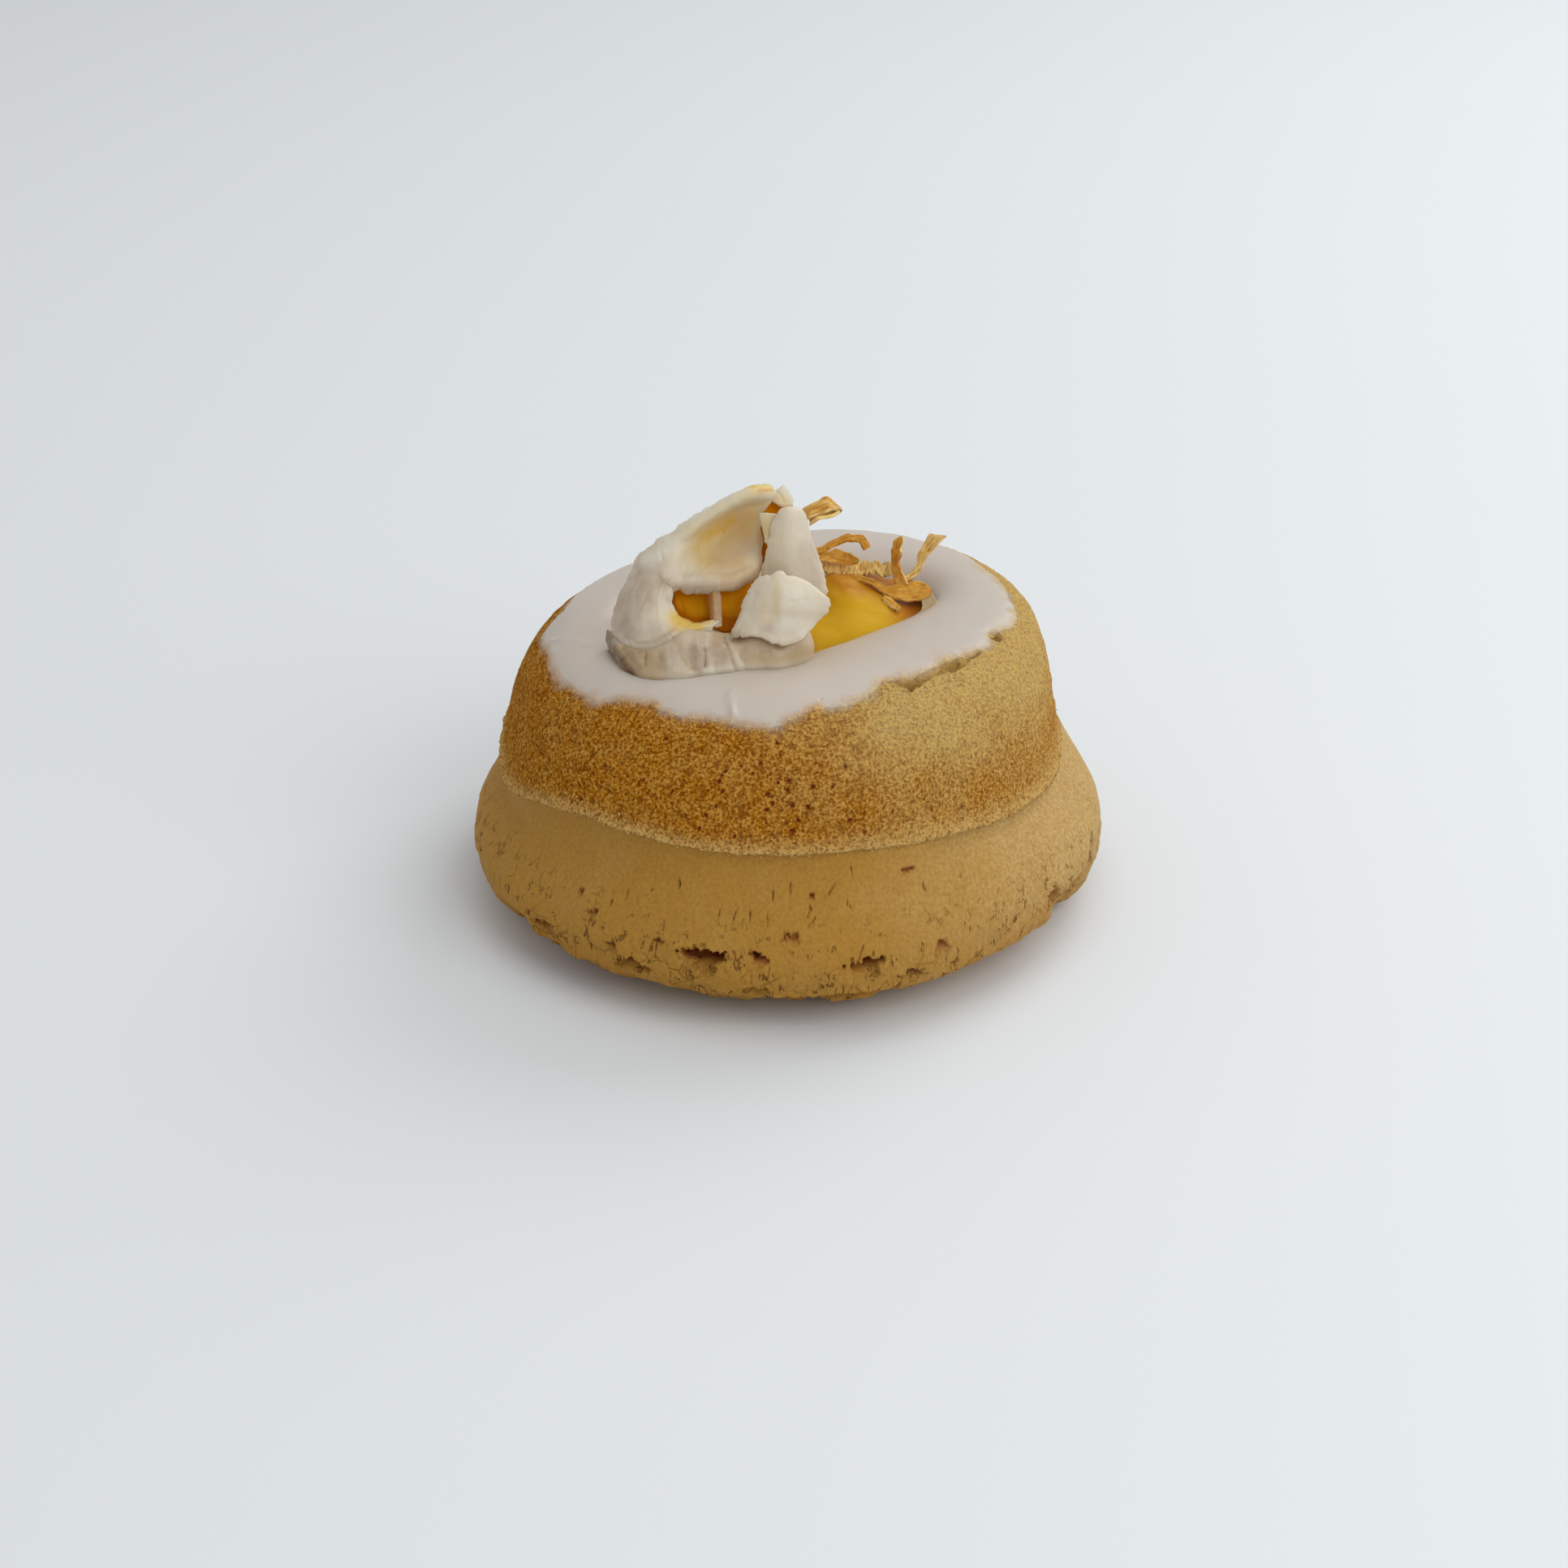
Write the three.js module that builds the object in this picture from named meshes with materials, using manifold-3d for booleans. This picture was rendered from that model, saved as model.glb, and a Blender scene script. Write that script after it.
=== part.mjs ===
import * as THREE from 'three';
import Module from 'manifold-3d';

// Mochi doughnut: a baked ring with a blind well, a fruit filling, glaze and torn fruit on top.
// Millimetres, Z up, underside on z = 0, front towards -Y.

// Lower band of risen dough
const BAND_RADIUS = 42;
const BAND_HEIGHT = 8.5;
const FOOT_RADIUS = 30.5;
const FOOT_X = 1.5;
const FULL = 0.94;
const FULL_X = -0.26;

// Moulded crust above the seam
const SEAM_HEIGHT = 22.4;
const SEAM_RADIUS = 36.7;
const CRUST_RADIUS = 36.2;
const CRUST_X = -1;
const LIP = 1.1;
const LIP_FADE = 0.07;
const CREST_HEIGHT = 38.3;
const CREST_X = 0.2;
const SQUARE = 0.86;
const SQUARE_X = -0.16;
const LEAN = 0.05;

// Well in the middle
const WELL_X = -2;
const WELL_Y = 2.5;
const RIM_RADIUS = 18.8;
const RIM_OVAL = 3;
const RIM_OVAL_ANGLE = 15;
const RIM_BULGE = 1.2;
const RIM_BULGE_ANGLE = 225;
const RIM_DROP = 6;
const RIM_INSET = 3;
const WELL_TAPER = 1.5;
const WELL_FLOOR = 25;

// Glaze
const GLAZE = 0.9;
const GAP = 0.3;
const GLAZE_IN = 5.35;
const RAMP = 0.05;

// Filling
const FILL_EDGE = 4.8;
const FILL_LEVEL = 35.6;
const MOUNDS = [[8, 3.5, 3.2, 10], [-9, 0, 2.6, 8]];

// Thickness of the torn fruit and of the fried shreds
const PETAL = 1.1;
const SHRED = 0.5;

// Mesh fineness
const AROUND = 76;

const DEG = Math.PI / 180;
const wasm = await Module();
wasm.setup();

// Glaze edge: azimuth in degrees, then the place on the profile
const GLAZE_EDGE = [
  [0, 3.83], [15, 3.88], [30, 3.86], [60, 3.78], [90, 3.74], [120, 3.76], [150, 3.72],
  [170, 3.72], [177, 3.6], [188, 3.65], [211, 3.64], [222, 3.65], [227, 3.73], [236, 3.74],
  [247, 3.73], [260, 3.69], [269, 3.7], [276, 3.77], [285, 3.8], [293, 3.85], [299, 3.92],
  [306, 3.9], [314, 3.92], [326, 3.88], [334, 3.84], [340, 3.89], [346, 3.81], [352, 3.8],
];

// Tears in the band: place on the profile, azimuth, width, height, depth
const TEARS = [
  [2.1, 257, 6, 3, 2.4], [1.9, 245, 4, 1.8, 1.6], [1.96, 224, 3.6, 1.6, 1.4],
  [1.84, 265, 3.6, 1.4, 1.3], [1.84, 292, 3.4, 1.6, 1.4], [2.04, 282, 3.6, 1.6, 1.4],
  [2.75, 294, 1.6, 0.9, 1], [1.94, 324, 2, 3.2, 1.5], [1.97, 342, 1.8, 2, 1.4],
  [2.2, 187, 1.4, 1.8, 1], [1.98, 30, 4.4, 1.8, 1.7], [2.1, 62, 2.6, 2, 1.5],
  [1.9, 95, 3.8, 1.6, 1.5], [2.05, 128, 3, 1.5, 1.4], [1.93, 160, 4.2, 1.7, 1.6],
];

function clamp01(v) {
  return Math.min(1, Math.max(0, v));
}

function smooth(v) {
  const c = clamp01(v);
  return c * c * (3 - 2 * c);
}

// Straight-line lookup in a list of knots
function lookup(knots, v) {
  let i = 0;
  while (i < knots.length - 2 && v > knots[i + 1][0]) i += 1;
  const [a, fa] = knots[i];
  const [b, fb] = knots[i + 1];
  return fa + (fb - fa) * clamp01((v - a) / (b - a));
}

function rimRadius(a) {
  const oval = RIM_OVAL * Math.cos(2 * (a - RIM_OVAL_ANGLE * DEG));
  return RIM_RADIUS + oval + RIM_BULGE * Math.cos(a - RIM_BULGE_ANGLE * DEG);
}

// Slow unevenness round the body
function swell(s, a) {
  const waves = 0.25 * Math.sin(3 * a + 0.6) + 0.18 * Math.sin(5 * a + 2.1)
    + 0.12 * Math.sin(8 * a + 4);
  return waves * clamp01((s - 1) / 0.5) * clamp01((4 - s) / 0.6);
}

const SHIFT = [
  [0, FOOT_X], [1, FOOT_X], [2, 0], [2.7, 0], [3, CRUST_X], [3.3, CRUST_X],
  [4, CREST_X], [5, WELL_X], [9, WELL_X],
];

// Radius and height of the profile. s runs 0-1 underside, 1-2 lower curve, 2-3 band up to
// the seam, 3-4 crust, 4-5 rim, 5-6 wall of the well, 6-7 floor of the well.
function profile(s, a) {
  const k = Math.min(6, Math.floor(s));
  const w = s - k;
  const t = w * Math.PI / 2;
  const well = rimRadius(a) - RIM_INSET;
  const crest = (rimRadius(a) + 4.6 + 25) / 2;
  const rim = CREST_HEIGHT - RIM_DROP;
  if (k === 0) return [w * FOOT_RADIUS, 0];
  if (k === 1) {
    const swept = Math.sin(t) ** (FULL + FULL_X * Math.cos(2 * a));
    const r = FOOT_RADIUS + (BAND_RADIUS - FOOT_RADIUS) * swept;
    return [r, BAND_HEIGHT * (1 - Math.cos(t))];
  }
  if (k === 2) {
    const r = SEAM_RADIUS + (BAND_RADIUS - SEAM_RADIUS) * (0.5 + 0.5 * Math.cos(Math.PI * w));
    return [r, BAND_HEIGHT + (SEAM_HEIGHT - BAND_HEIGHT) * w];
  }
  if (k === 3) {
    const power = SQUARE + SQUARE_X * Math.cos(a);
    const round = (CRUST_RADIUS - crest) * Math.max(Math.cos(t), 0) ** power;
    const r = crest + round + LIP * Math.exp(-w / LIP_FADE);
    return [r, SEAM_HEIGHT + (CREST_HEIGHT - SEAM_HEIGHT) * Math.sin(t)];
  }
  if (k === 4) {
    const r = crest - (crest - well) * Math.sin(t);
    return [r, CREST_HEIGHT - RIM_DROP * (1 - Math.cos(t))];
  }
  if (k === 5) return [well - WELL_TAPER * w, rim + (WELL_FLOOR - rim) * w];
  return [(well - WELL_TAPER) * (1 - w), WELL_FLOOR];
}

function bodyPoint(s, a) {
  const [r, z] = profile(s, a);
  const full = r + swell(s, a);
  const x = lookup(SHIFT, s) + full * Math.cos(a);
  const y = smooth((s - 3) / 2) * WELL_Y + full * Math.sin(a);
  return new THREE.Vector3(x, y, z + LEAN * x * clamp01(z / SEAM_HEIGHT));
}

function bodyNormal(s, a) {
  const e = 0.004;
  const low = Math.floor(s) === Math.floor(s - e) ? s - e : s;
  const along = bodyPoint(low + 2 * e, a).sub(bodyPoint(low, a));
  const around = bodyPoint(s, a + e).sub(bodyPoint(s, a - e));
  return around.cross(along).normalize();
}

function offsetPoint(s, a, out) {
  return bodyPoint(s, a).addScaledVector(bodyNormal(s, a), out);
}

function glazeEdge(a) {
  const turn = ((a / DEG) % 360 + 360) % 360;
  const knots = [...GLAZE_EDGE, [360, GLAZE_EDGE[0][1]]];
  return lookup(knots, turn) + 0.012 * Math.sin(17 * a + 1) + 0.008 * Math.sin(29 * a);
}

function glazeEnd(a) {
  return GLAZE_IN + 0.05 * Math.sin(4 * a + 2);
}

// Depth of the bed that the glaze lies in
function recess(s, a) {
  const outer = smooth((s - glazeEdge(a) + 0.6 * RAMP) / (2 * RAMP));
  const inner = smooth((glazeEnd(a) + 0.6 * RAMP - s) / (2 * RAMP));
  return (GLAZE + GAP) * Math.min(outer, inner);
}

function toManifold(points, faces) {
  const vertProperties = new Float32Array(points.flatMap((p) => [p.x, p.y, p.z]));
  const build = (list) => {
    const mesh = new wasm.Mesh({ numProp: 3, vertProperties, triVerts: new Uint32Array(list.flat()) });
    mesh.merge();
    return new wasm.Manifold(mesh);
  };
  const solid = build(faces);
  return solid.volume() > 0 ? solid : build(faces.map(([i, j, k]) => [i, k, j]));
}

// Closed solid from rings of equal length, capped by a point at each end
function ringSolid(first, rings, last) {
  const n = rings[0].length;
  const points = [first, ...rings.flat(), last];
  const faces = [];
  for (let j = 0; j < n; j += 1) {
    const k = (j + 1) % n;
    faces.push([0, 1 + k, 1 + j]);
    for (let i = 0; i < rings.length - 1; i += 1) {
      const a = 1 + i * n;
      const b = a + n;
      faces.push([a + j, a + k, b + k], [a + j, b + k, b + j]);
    }
    const top = 1 + (rings.length - 1) * n;
    faces.push([top + j, top + k, points.length - 1]);
  }
  return toManifold(points, faces);
}

// Closed tube of rings that ends where it began
function loopSolid(rings) {
  const n = rings[0].length;
  const faces = [];
  rings.forEach((ring, i) => {
    const a = i * n;
    const b = ((i + 1) % rings.length) * n;
    for (let j = 0; j < n; j += 1) {
      const k = (j + 1) % n;
      faces.push([a + j, a + k, b + k], [a + j, b + k, b + j]);
    }
  });
  return toManifold(rings.flat(), faces);
}

function ringOf(count, make) {
  return Array.from({ length: count }, (_, j) => make(j / count * 2 * Math.PI));
}

function largest(solid) {
  const parts = solid.decompose();
  return parts.reduce((best, part) => (part.volume() > best.volume() ? part : best));
}

// Crumbly edge of the crust above the seam
function crumble(s, a) {
  const near = Math.max(0, 1 - Math.abs(s - 3.02) / 0.06);
  return near * (0.16 * Math.sin(31 * a + 2) + 0.14 * Math.sin(43 * a) + 0.1 * Math.sin(19 * a + 5));
}

function doughBody(clear) {
  const under = [0.999, 1.2, 1.42, 1.64, 1.86, 2.08, 2.3, 2.5, 2.7, 2.88, 2.999];
  const crust = [0, 0.06, 0.16, 0.34, 0.52, 0.7, 0.86, 1];
  const ring = (place) => ringOf(AROUND, (a) => {
    const s = place(a);
    return offsetPoint(s, a, crumble(s, a) - recess(s, a) + clear);
  });
  const rings = under.map((s) => ring(() => s));
  crust.forEach((f) => rings.push(ring((a) => 3.001 + f * (glazeEdge(a) - 0.8 * RAMP - 3.001))));
  rings.push(ring((a) => glazeEdge(a) + 0.1 * RAMP), ring((a) => glazeEdge(a) + 1.5 * RAMP));
  rings.push(ring(() => 4.1), ring(() => 4.45), ring(() => 4.8));
  rings.push(ring((a) => glazeEnd(a) - 1.5 * RAMP), ring((a) => glazeEnd(a) + 0.8 * RAMP));
  rings.push(ring(() => 5.97), ring(() => 6.05), ring(() => 6.5));
  return ringSolid(bodyPoint(0, 0), rings, bodyPoint(7, 0));
}

function makeDough() {
  let solid = doughBody(0);
  TEARS.forEach((tear, i) => {
    solid = solid.subtract(makeLump(tear, i));
  });
  return largest(solid);
}

// Ragged lump that cuts one tear
function makeLump([s, azimuth, width, height, depth], seed) {
  const a = azimuth * DEG;
  const centre = bodyPoint(s, a);
  const out = bodyNormal(s, a);
  const side = new THREE.Vector3(-Math.sin(a), Math.cos(a), 0);
  const up = out.clone().cross(side).normalize();
  const count = 9;
  const ring = (f, in_) => ringOf(count, (t) => {
    const rough = 1 + 0.22 * Math.sin(3 * t + seed * 2.3) + 0.14 * Math.sin(5 * t + seed * 1.1);
    const p = centre.clone().addScaledVector(out, -in_);
    p.addScaledVector(side, f * rough * width / 2 * Math.cos(t));
    return p.addScaledVector(up, f * rough * height / 2 * Math.sin(t));
  });
  const rings = [ring(1.1, -1), ring(1, 0.2), ring(0.7, depth * 0.7)];
  const top = centre.clone().addScaledVector(out, 1.9);
  return ringSolid(top, rings, centre.clone().addScaledVector(out, -depth));
}

function makeGlaze() {
  const span = (f) => (a) => {
    const from = glazeEdge(a) + 0.4 * RAMP;
    const to = glazeEnd(a) - 0.4 * RAMP;
    return from + f * (to - from);
  };
  const outer = [0, 0.05, 0.2, 0.38, 0.54, 0.7, 0.85, 1];
  const outerRings = outer.map((f) => ringOf(AROUND, (a) => offsetPoint(span(f)(a), a, 0.05)));
  const inner = [
    span(1), (a) => glazeEnd(a) - 1.5 * RAMP, () => 4.8, () => 4.45, () => 4.1,
    (a) => glazeEdge(a) + 1.5 * RAMP, span(0),
  ];
  const innerRings = inner.map((where) => ringOf(AROUND, (a) => {
    const s = where(a);
    return offsetPoint(s, a, GAP - recess(s, a));
  }));
  return loopSolid([...outerRings, ...innerRings]);
}

function fillTop(x, y) {
  const ripple = 0.12 * Math.sin(0.9 * x + 0.5 * y) + 0.1 * Math.sin(0.4 * x - 1.1 * y + 1);
  const rise = (sum, [mx, my, h, r]) => sum + h * Math.exp(-((x - mx) ** 2 + (y - my) ** 2) / (r * r));
  return MOUNDS.reduce(rise, FILL_LEVEL + ripple);
}

// Rings of the top of the filling, from its edge inwards
function fillRings(count, clear, fractions) {
  const middle = new THREE.Vector3(WELL_X, WELL_Y, 0);
  return fractions.map((f) => ringOf(count, (a) => {
    const edge = offsetPoint(FILL_EDGE, a, clear);
    const p = middle.clone().lerp(edge, f);
    const blend = f ** 6;
    p.z = fillTop(p.x, p.y) * (1 - blend) + edge.z * blend;
    return p;
  }));
}

function makeFilling() {
  const count = 40;
  const clear = GAP + 0.08;
  const outline = [6.5, 6.06, 5.96, 5.7, 5.4, 5.1, 4.95, FILL_EDGE];
  const rings = outline.map((s) => ringOf(count, (a) => offsetPoint(s, a, clear)));
  rings.push(...fillRings(count, clear, [0.93, 0.8, 0.62, 0.42, 0.2]));
  const base = bodyPoint(7, 0);
  base.z += clear;
  return ringSolid(base, rings, new THREE.Vector3(WELL_X, WELL_Y, fillTop(WELL_X, WELL_Y)));
}

// All that the topping has to stay clear of
function makeGround() {
  const places = [1, 2, 2.5, 3.001, 3.1, 3.3, 3.5, 3.7, 3.9, 4.1, 4.3, 4.5, 4.65, FILL_EDGE];
  const rings = places.map((s) => ringOf(AROUND, (a) => offsetPoint(s, a, GAP + 0.05)));
  fillRings(AROUND, 0, [0.97, 0.9, 0.8, 0.7, 0.6, 0.5, 0.4, 0.3, 0.2, 0.1]).forEach((ring) => {
    ring.forEach((p) => { p.z += GAP + 0.1; });
    rings.push(ring);
  });
  const top = new THREE.Vector3(WELL_X, WELL_Y, fillTop(WELL_X, WELL_Y) + GAP + 0.1);
  return ringSolid(new THREE.Vector3(0, 0, 0), rings, top);
}

// Smooth curve through rows of numbers
function curve(rows, t) {
  const v = clamp01(t) * (rows.length - 1);
  const i = Math.min(rows.length - 2, Math.floor(v));
  const f = v - i;
  const row = (n) => rows[Math.min(rows.length - 1, Math.max(0, n))];
  return rows[i].map((_, c) => {
    const [p, q, r, s] = [row(i - 1)[c], row(i)[c], row(i + 1)[c], row(i + 2)[c]];
    const slope = (2 * p - 5 * q + 4 * r - s) * f * f + (3 * q - p - 3 * r + s) * f ** 3;
    return 0.5 * (2 * q + (r - p) * f + slope);
  });
}

// Both faces of a thin wavy sheet through stations: left xyz, right xyz, bulge, hollow
function sheetSides({ stations, along, across, thick, face, seed }, grow) {
  const place = (t, u) => {
    const [lx, ly, lz, rx, ry, rz, bulge, hollow] = curve(stations, t);
    const left = new THREE.Vector3(lx, ly, lz);
    const right = new THREE.Vector3(rx, ry, rz);
    const span = right.clone().sub(left);
    const width = span.length() + 1e-6;
    const rough = 0.25 * Math.sin(23 * t + seed) * Math.sin(9 * t + 2 * seed);
    const from = -grow / width;
    const to = 1 + (grow + rough * Math.min(1, width / 3)) / width;
    const v = from + (to - from) * u;
    const p = left.clone().addScaledVector(span, v);
    const next = curve(stations, Math.min(1, t + 0.02));
    const prev = curve(stations, Math.max(0, t - 0.02));
    const run = new THREE.Vector3(next[0] + next[3], next[1] + next[4], next[2] + next[5]);
    run.sub(new THREE.Vector3(prev[0] + prev[3], prev[1] + prev[4], prev[2] + prev[5]));
    const out = run.cross(span).normalize();
    if (out.dot(face) < 0) out.negate();
    const c = clamp01(v);
    const wave = 0.12 * Math.sin(6 * v * Math.PI + 5 * t + seed) * Math.min(1, width / 4);
    const hole = hollow * Math.exp(-(((c - 0.55) / 0.2) ** 2));
    return p.addScaledVector(out, bulge * 4 * c * (1 - c) - hole + wave);
  };
  const taper = (v) => Math.min(1, 0.4 + 3 * Math.min(v, 1 - v));
  const upper = [];
  const lower = [];
  for (let i = 0; i <= along; i += 1) {
    for (let j = 0; j <= across; j += 1) {
      const t = i / along;
      const u = j / across;
      const p = place(t, u);
      const du = place(t, Math.min(1, u + 0.02)).sub(place(t, Math.max(0, u - 0.02)));
      const dt = place(Math.min(1, t + 0.02), u).sub(place(Math.max(0, t - 0.02), u));
      const n = dt.cross(du).normalize();
      const half = thick / 2 * taper(u) * taper(t) + grow;
      upper.push(p.clone().addScaledVector(n, half));
      lower.push(p.clone().addScaledVector(n, -half));
    }
  }
  return [upper, lower];
}

function makeSheet(spec) {
  return toManifold(sheetSides(spec, 0).flat(), sheetFaces(spec.along, spec.across));
}

// Room that a sheet takes up, with a gap all round
function sheetRoom(spec) {
  const [upper, lower] = sheetSides(spec, GAP);
  const row = spec.across + 1;
  const cells = [];
  for (let i = 0; i < spec.along; i += 1) {
    for (let j = 0; j < spec.across; j += 1) {
      const corners = [0, 1, row, row + 1].map((step) => i * row + j + step);
      const points = corners.flatMap((c) => [upper[c], lower[c]]);
      cells.push(wasm.Manifold.hull(points.map((p) => [p.x, p.y, p.z])));
    }
  }
  return wasm.Manifold.union(cells);
}

function sheetFaces(along, across) {
  const row = across + 1;
  const count = row * (along + 1);
  const faces = [];
  const quad = (a, b, c, d) => faces.push([a, b, c], [a, c, d]);
  for (let i = 0; i < along; i += 1) {
    for (let j = 0; j < across; j += 1) {
      const a = i * row + j;
      quad(a, a + 1, a + row + 1, a + row);
      faces.push([count + a, count + a + row + 1, count + a + 1]);
      faces.push([count + a, count + a + row, count + a + row + 1]);
    }
    const l = i * row;
    quad(l, l + row, count + l + row, count + l);
    quad(l + across, count + l + across, count + l + row + across, l + row + across);
  }
  for (let j = 0; j < across; j += 1) {
    const e = along * row + j;
    quad(j, count + j, count + j + 1, j + 1);
    quad(e, e + 1, count + e + 1, count + e);
  }
  return faces;
}

const FRONT = new THREE.Vector3(-0.15, -0.8, 0.58);

// Torn fruit: stations of left xyz, right xyz, bulge, hollow
const PETALS = {
  petal_hood: {
    along: 24, across: 7, thick: PETAL, face: FRONT, seed: 1, stations: [
      [-9, -12.6, 40.4, -8, -11.8, 42, 0.2, 0],
      [-12, -13, 40.2, -10.9, -12, 42, 0.6, 0],
      [-16, -13, 39.4, -13.8, -11.5, 42.3, 1.2, 0],
      [-20.2, -10.5, 39.2, -14.6, -11, 43.9, 2, 0],
      [-22.4, -6, 40, -14.6, -10.5, 45.3, 2.4, 0],
      [-21, -4, 43.3, -14, -9.5, 45.5, 2.2, 0],
      [-19.4, -2.5, 46.8, -12.2, -9, 45, 1.8, 0],
      [-17.3, -2, 49.1, -9.9, -8.5, 44.9, 1.8, 1],
      [-13.9, -1.5, 51.5, -7.4, -8, 45, 1.8, 2.2],
      [-10.5, -1, 53.2, -4.9, -7.5, 45.9, 1.8, 2.6],
      [-7.2, -0.5, 55, -3.3, -6.5, 47.9, 1.6, 2],
      [-4.9, 0, 55.8, -2.9, -5, 50.6, 1, 1],
      [-3, 0, 56.1, -2.9, -3.5, 52.5, 0.5, 0.2],
      [-1.9, 0.5, 55.8, -2, -2, 53.5, 0.2, 0],
    ],
  },
  petal_front: {
    along: 10, across: 8, thick: PETAL, face: FRONT, seed: 2, stations: [
      [-7, -13.5, 39.8, 1.9, -12.5, 39.4, 1, 0],
      [-6.7, -12.3, 42, 3.2, -11.5, 41.2, 1.6, 0.5],
      [-5.8, -11.3, 43.8, 5.1, -10.5, 42.7, 1.8, 1.1],
      [-5.5, -10.6, 45.2, 5.4, -10, 43.9, 1.6, 1.2],
      [-4.8, -10, 46.4, 4.4, -9.6, 44.8, 1.2, 0.8],
      [-3.8, -9.5, 47.3, 3, -9.2, 46.1, 0.7, 0.3],
      [-2.3, -9, 47.6, 0.9, -9, 47.2, 0.2, 0],
    ],
  },
  petal_upright: {
    along: 11, across: 6, thick: PETAL, face: FRONT, seed: 3, stations: [
      [-3, -6.5, 39.2, 4.4, -5.5, 39, 1, 0],
      [-3, -6.6, 42.6, 4.8, -5, 41.6, 1.5, 0],
      [-3.4, -6.2, 45.8, 4.8, -4.2, 44.1, 1.8, 0],
      [-3.4, -5.8, 48.1, 4.4, -3.8, 46.7, 1.7, 0],
      [-2.8, -5.5, 50.2, 3.5, -3.4, 48.8, 1.4, 0],
      [-2, -4.8, 52.1, 3, -3, 50.9, 1.1, 0],
      [-1.2, -4, 53.4, 2.3, -2.8, 52.4, 0.7, 0],
      [-0.3, -3.4, 53.9, 1.7, -2.6, 53.3, 0.3, 0],
      [0.5, -3, 54.1, 1.2, -2.5, 53.7, 0, 0],
    ],
  },
  petal_tip: {
    along: 8, across: 5, thick: 0.9, face: FRONT, seed: 4, stations: [
      [-1.4, -0.5, 56, -1.2, -1.4, 54.6, 0.1, 0],
      [-0.9, -0.2, 56, -1.1, -1.6, 54.2, 0.3, 0],
      [-0.1, 0, 55.6, -0.3, -1.2, 53.4, 0.4, 0],
      [0.6, 0.2, 54.9, 0.6, -0.8, 52.4, 0.3, 0],
      [1.1, 0.2, 54.2, 1.1, -0.8, 51.8, 0, 0],
    ],
  },
  petal_sliver: {
    along: 8, across: 3, thick: 0.7, face: FRONT, seed: 5, stations: [
      [-3.6, -3.4, 53.2, -1.8, -3.2, 53.2, 0.1, 0],
      [-3.3, -4.4, 52.1, -2, -4.4, 51.9, 0.2, 0],
      [-3.1, -5.6, 50.8, -2.5, -5.6, 50.6, 0.1, 0],
      [-2.9, -6.6, 49.4, -2.7, -6.6, 49.4, 0, 0],
    ],
  },
  pulp_base: {
    along: 22, across: 5, thick: 2, face: new THREE.Vector3(-0.15, -0.5, 0.8), seed: 6, stations: [
      [-21.6, -8.6, 36.6, -20.2, -7, 39, 0.2, 0],
      [-20.2, -11.8, 36.5, -18.2, -9.4, 39.3, 0.6, 0],
      [-17.4, -14, 36.4, -16, -10.6, 39.4, 1, 0],
      [-14.6, -14.9, 36.6, -13.2, -10.8, 40, 0.4, 0],
      [-12, -15.1, 36.7, -11.2, -10.8, 40.2, 1.3, 0],
      [-9.6, -15, 36.8, -9, -10.8, 40.2, 0.3, 0],
      [-7.4, -14.9, 36.9, -7, -10.8, 40.2, 1.3, 0],
      [-5, -14.6, 37, -5, -10.4, 40, 0.4, 0],
      [-2.2, -14.3, 37.1, -2.4, -10, 40, 1.5, 0],
      [0.8, -13.4, 37.4, 0.2, -9.2, 39.6, 1.4, 0],
      [3, -11.4, 37.8, 2, -8, 39, 0.6, 0],
    ],
  },
};

// Fried shreds: direction across the strip, then points of x, y, z and width
const SHREDS = {
  shred_loop: [[0, 0.3, 0.95], [
    [0.8, 1.5, 40, 1], [1, 0.9, 45, 1], [1.6, 0.8, 49, 1.2], [3.3, 2, 51, 1.4],
    [5, 3.4, 52.1, 1.6], [6.1, 4.6, 51.9, 1.6], [6.9, 5.4, 50.9, 1.4], [6.2, 4.2, 49.9, 1.2],
    [4.8, 3, 49.7, 1],
  ]],
  shred_arc: [[0, 0.35, 0.93], [
    [1.6, 5, 39.6, 1], [3.6, 5.5, 43.2, 1.1], [5.1, 6.4, 44.8, 1.2], [6.4, 7.2, 45.4, 1.2],
    [8, 7.6, 45.5, 1.2], [9.5, 7.6, 45.4, 1.2], [10.4, 7.2, 44.9, 1.4], [10.8, 7, 44.3, 1.6],
  ]],
  shred_flake: [[0.2, 0.5, 0.85], [
    [3.4, 9.5, 40.2, 2], [5, 9.6, 41.6, 2.6], [6.8, 9.4, 42.2, 2.4], [9.4, 9.2, 41.2, 1.2],
  ]],
  shred_frayed: [[0, 0.3, 0.95], [
    [4.4, 11.4, 39.6, 1.6], [6.5, 11.2, 39.4, 1.8], [9.2, 11, 39.4, 1.8],
    [11.9, 10.8, 39.5, 1.6], [14.2, 10.4, 39.3, 1.2],
  ]],
  shred_stub: [[1, 0.2, 0.1], [
    [14.7, 10.6, 44.2, 1.1], [14.2, 10.4, 42.6, 1.3], [14.5, 9.4, 40.6, 1.1], [14.8, 8.6, 38.6, 1],
  ]],
  shred_fan: [[0.85, 0.1, 0.5], [
    [20.2, 12, 43.8, 2.2], [18.5, 11.8, 41.9, 1.5], [17.4, 10.8, 39.8, 0.9], [16.4, 9.4, 38.6, 0.6],
  ]],
  shred_leaf: [[0.1, 0.6, 0.8], [
    [8.2, 7, 39.9, 0.8], [11.8, 7, 38.8, 1.4], [14, 6.8, 38.3, 1.4], [16.1, 6.8, 38.4, 2],
    [18, 6.6, 38.2, 2.6], [18.9, 5.6, 37.6, 1.6],
  ]],
  shred_sliver: [[0.3, 0.7, 0.6], [
    [12, 2.6, 39.6, 0.5], [13.3, 1.6, 38.8, 1], [14.4, 1, 38.2, 0.5],
  ]],
};

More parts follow.
